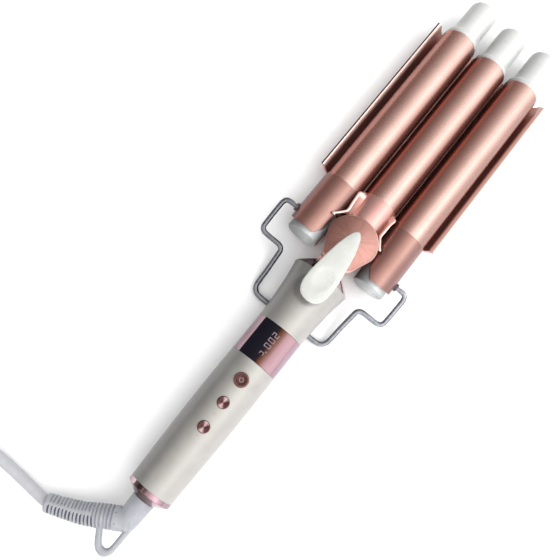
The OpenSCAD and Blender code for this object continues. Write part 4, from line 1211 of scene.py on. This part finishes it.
def keys():
    y = -91.0
    P = Parts()
    P.add(revolve([(0, 32.28), (1.2, 32.27), (2.3, 32.33), (2.75, 32.5), (2.95, 32.5), (3.1, 32.3), (3.14, 31.9), (3.42, 31.9), (3.46, 32.3), (3.6, 32.55), (4.0, 32.58), (4.35, 32.4), (4.48, 32.05), (4.5, 31.6),
                   (4.5, 28.7), (5.3, 28.7), (5.3, 27.9), (0, 27.9)], n=72, axis="Z", at=y))
    Q = Parts()
    Q.add(arc_ridge(1.25, 0.42, 0.16, 32.28, y, -235, 55))
    bar = [[(-0.2, y + 0.5, z) if q == 0 else (0.2, y + 0.5, z) if q == 1 else (0.2, y + 1.75, z) if q == 2 else (-0.2, y + 1.75, z) for q in range(4)] for z in (32.15, 32.44)]
    Q.add(loft(bar))
    make("power_symbol", Q.v, Q.f, KEY_MARK, "power_button", angle=40)
    ob = make("power_cap", P.v, P.f, KEY_CAP, "power_button", ("power_key",), angle=40)
    ob.data.materials.append(KEY_RIM)
    ob.data.materials.append(SPUN_DARK)
    for p in ob.data.polygons:
        c = p.center
        d = sqrt((c.x * 1000) ** 2 + (c.y * 1000 - y - YS) ** 2)
        if 3.0 < d < 3.5 and c.z * 1000 < 32.25 or d > 4.3:
            p.material_index = 1
        elif d < 3.1:
            p.material_index = 2
    for name, body, cad, yy, top in (("plus_cap", "plus_button", "plus_key", -107.5, 32.25), ("minus_cap", "minus_button", "minus_key", -125.0, 32.05)):
        v, f = revolve([(0, top - 0.28), (1.2, top - 0.25), (2.4, top - 0.14), (3.1, top), (3.4, top - 0.02), (3.6, top - 0.16), (3.68, top - 0.5), (3.7, top - 1.0),
                        (3.7, 28.7), (4.5, 28.7), (4.5, 27.9), (0, 27.9)], n=72, axis="Z", at=yy)
        ob = make(name, v, f, SPUN, body, (cad,), angle=40)
        ob.data.materials.append(KEY_RIM)
        for p in ob.data.polygons:
            c = p.center
            d = sqrt((c.x * 1000) ** 2 + (c.y * 1000 - yy - YS) ** 2)
            if d > 3.45:
                p.material_index = 1


keys()


def plate_on(radius_at, x0, x1, y0, y1, h, skew=0.0):
    """Thin plate lying on the handle's round surface."""
    v = []
    nx = max(1, int(abs(x1 - x0) / 0.4))
    for lay in (0, 1):
        for i in range(nx + 1):
            x = lerp(x0, x1, i / nx)
            for j, y in enumerate((y0, y1)):
                R = radius_at(y)
                v.append((x, y, ZC + sqrt(R * R - x * x) + (h if lay else -0.15)))
    f = []
    o = 2 * (nx + 1)
    for i in range(nx):
        a = 2 * i
        f.append((a, a + 1, a + 3, a + 2))
        f.append((o + a + 1, o + a, o + a + 2, o + a + 3))
        f.append((a, a + 2, o + a + 2, o + a))
        f.append((a + 3, a + 1, o + a + 1, o + a + 3))
    f.append((0, o, o + 1, 1))
    a = 2 * nx
    f.append((a, a + 1, o + a + 1, o + a))
    return v, f


def display():
    rl = lambda y: 15.7
    seg = {"A": (1, 2, 1, 0), "B": 0}
    # seven-part digits: the row reads towards the tail, with the digits' tops towards +X
    W, H, S = 2.5, 4.3, 0.5
    names = {"2": "abged", "0": "abcdef", "1": "bc", "8": "abcdefg", "5": "acdfg"}
    P = Parts()

    def bar(u0, u1, w0, w1, ox, oy):
        # u runs along the text (towards -Y), w runs up the digit (towards +X)
        P.add(plate_on(rl, ox + w0, ox + w1, oy - u0, oy - u1, 0.05))

    def digit(ch, ox, oy):
        g = 0.12
        for s in names[ch]:
            if s == "a":
                bar(g, W - g, H - S, H, ox, oy)
            if s == "d":
                bar(g, W - g, 0, S, ox, oy)
            if s == "g":
                bar(g, W - g, H / 2 - S / 2, H / 2 + S / 2, ox, oy)
            if s == "b":
                bar(W - S, W, H / 2 + g, H - g, ox, oy)
            if s == "c":
                bar(W - S, W, g, H / 2 - g, ox, oy)
            if s == "e":
                bar(0, S, g, H / 2 - g, ox, oy)
            if s == "f":
                bar(0, S, H / 2 + g, H - g, ox, oy)
    ox, oy = -2.6, -57.0
    for i, ch in enumerate("200"):
        digit(ch, ox, oy - i * 3.9)
    # degree ring and C
    u = oy - 12.2
    for a in ((0, 0.9, 3.4, 3.75), (0, 0.9, 4.0, 4.3), (0, 0.28, 3.4, 4.3), (0.62, 0.9, 3.4, 4.3)):
        bar(*a, ox, u)
    u = oy - 13.6
    for a in ((0, 1.9, 3.0, 3.4), (0, 1.9, 0.6, 1.0), (0, 0.42, 0.8, 3.2)):
        bar(*a, ox, u)
    make("display_digits", P.v, P.f, DIGIT, "handle")
    M = Parts()
    rg = lambda y: table(GRIP, y)
    M.add(plate_on(rg, -0.85, 0.85, -115.55, -115.85, 0.03))
    M.add(plate_on(rg, -0.15, 0.15, -114.85, -116.55, 0.03))
    M.add(plate_on(rg, -0.8, 0.8, -130.8, -131.08, 0.03))
    make("key_marks", M.v, M.f, PRINT, "handle")


display()


# ------------------------------------------------------------------ floor and light
def stage():
    me = bpy.data.meshes.new("floor")
    s = 6.0
    me.from_pydata([(-s, -s, -0.0003), (s, -s, -0.0003), (s, s, -0.0003), (-s, s, -0.0003)], [], [(0, 1, 2, 3)])
    ob = bpy.data.objects.new("floor", me)
    SCN.collection.objects.link(ob)
    ob.data.materials.append(finish("floor_paint", (0.86, 0.86, 0.86), (0.88, 0.88, 0.88), 0.7, bump=0, spec=0.2))
    w = bpy.data.worlds.new("world")
    w.use_nodes = True
    nt = w.node_tree
    bg = nt.nodes["Background"]
    tc = nt.nodes.new("ShaderNodeTexCoord")
    sx = nt.nodes.new("ShaderNodeSeparateXYZ")
    nt.links.new(tc.outputs["Generated"], sx.inputs[0])
    mr = nt.nodes.new("ShaderNodeMapRange")
    mr.inputs["From Min"].default_value = -1
    mr.inputs["From Max"].default_value = 1
    nt.links.new(sx.outputs["X"], mr.inputs["Value"])
    sky = [(-1, 0.30), (-0.9, 0.32), (-0.73, 0.40), (-0.39, 0.74), (0, 1.28), (0.32, 2.05), (0.50, 3.0), (0.68, 3.0), (0.84, 1.75), (1, 1.05)]
    c = ramp(nt, [((x + 1) / 2, (v / 3, v / 3, v / 3)) for x, v in sky])
    nt.links.new(mr.outputs["Result"], c.inputs["Fac"])
    nt.links.new(c.outputs["Color"], bg.inputs["Color"])
    bg.inputs[1].default_value = 3.0
    SCN.world = w

    def area(name, loc, size, energy, target=(0, 0, 0)):
        l = bpy.data.lights.new(name, "AREA")
        l.shape = "RECTANGLE"
        l.size, l.size_y = size
        l.energy = energy
        o = bpy.data.objects.new(name, l)
        SCN.collection.objects.link(o)
        o.location = loc
        o.rotation_mode = "QUATERNION"
        o.rotation_quaternion = (Vector(target) - Vector(loc)).to_track_quat("-Z", "Y")
        return o
    area("key", (0.25, 0.10, 1.1), (1.0, 1.6), 3)
    area("fill", (-0.9, -1.1, 1.2), (1.2, 1.2), 7)


stage()
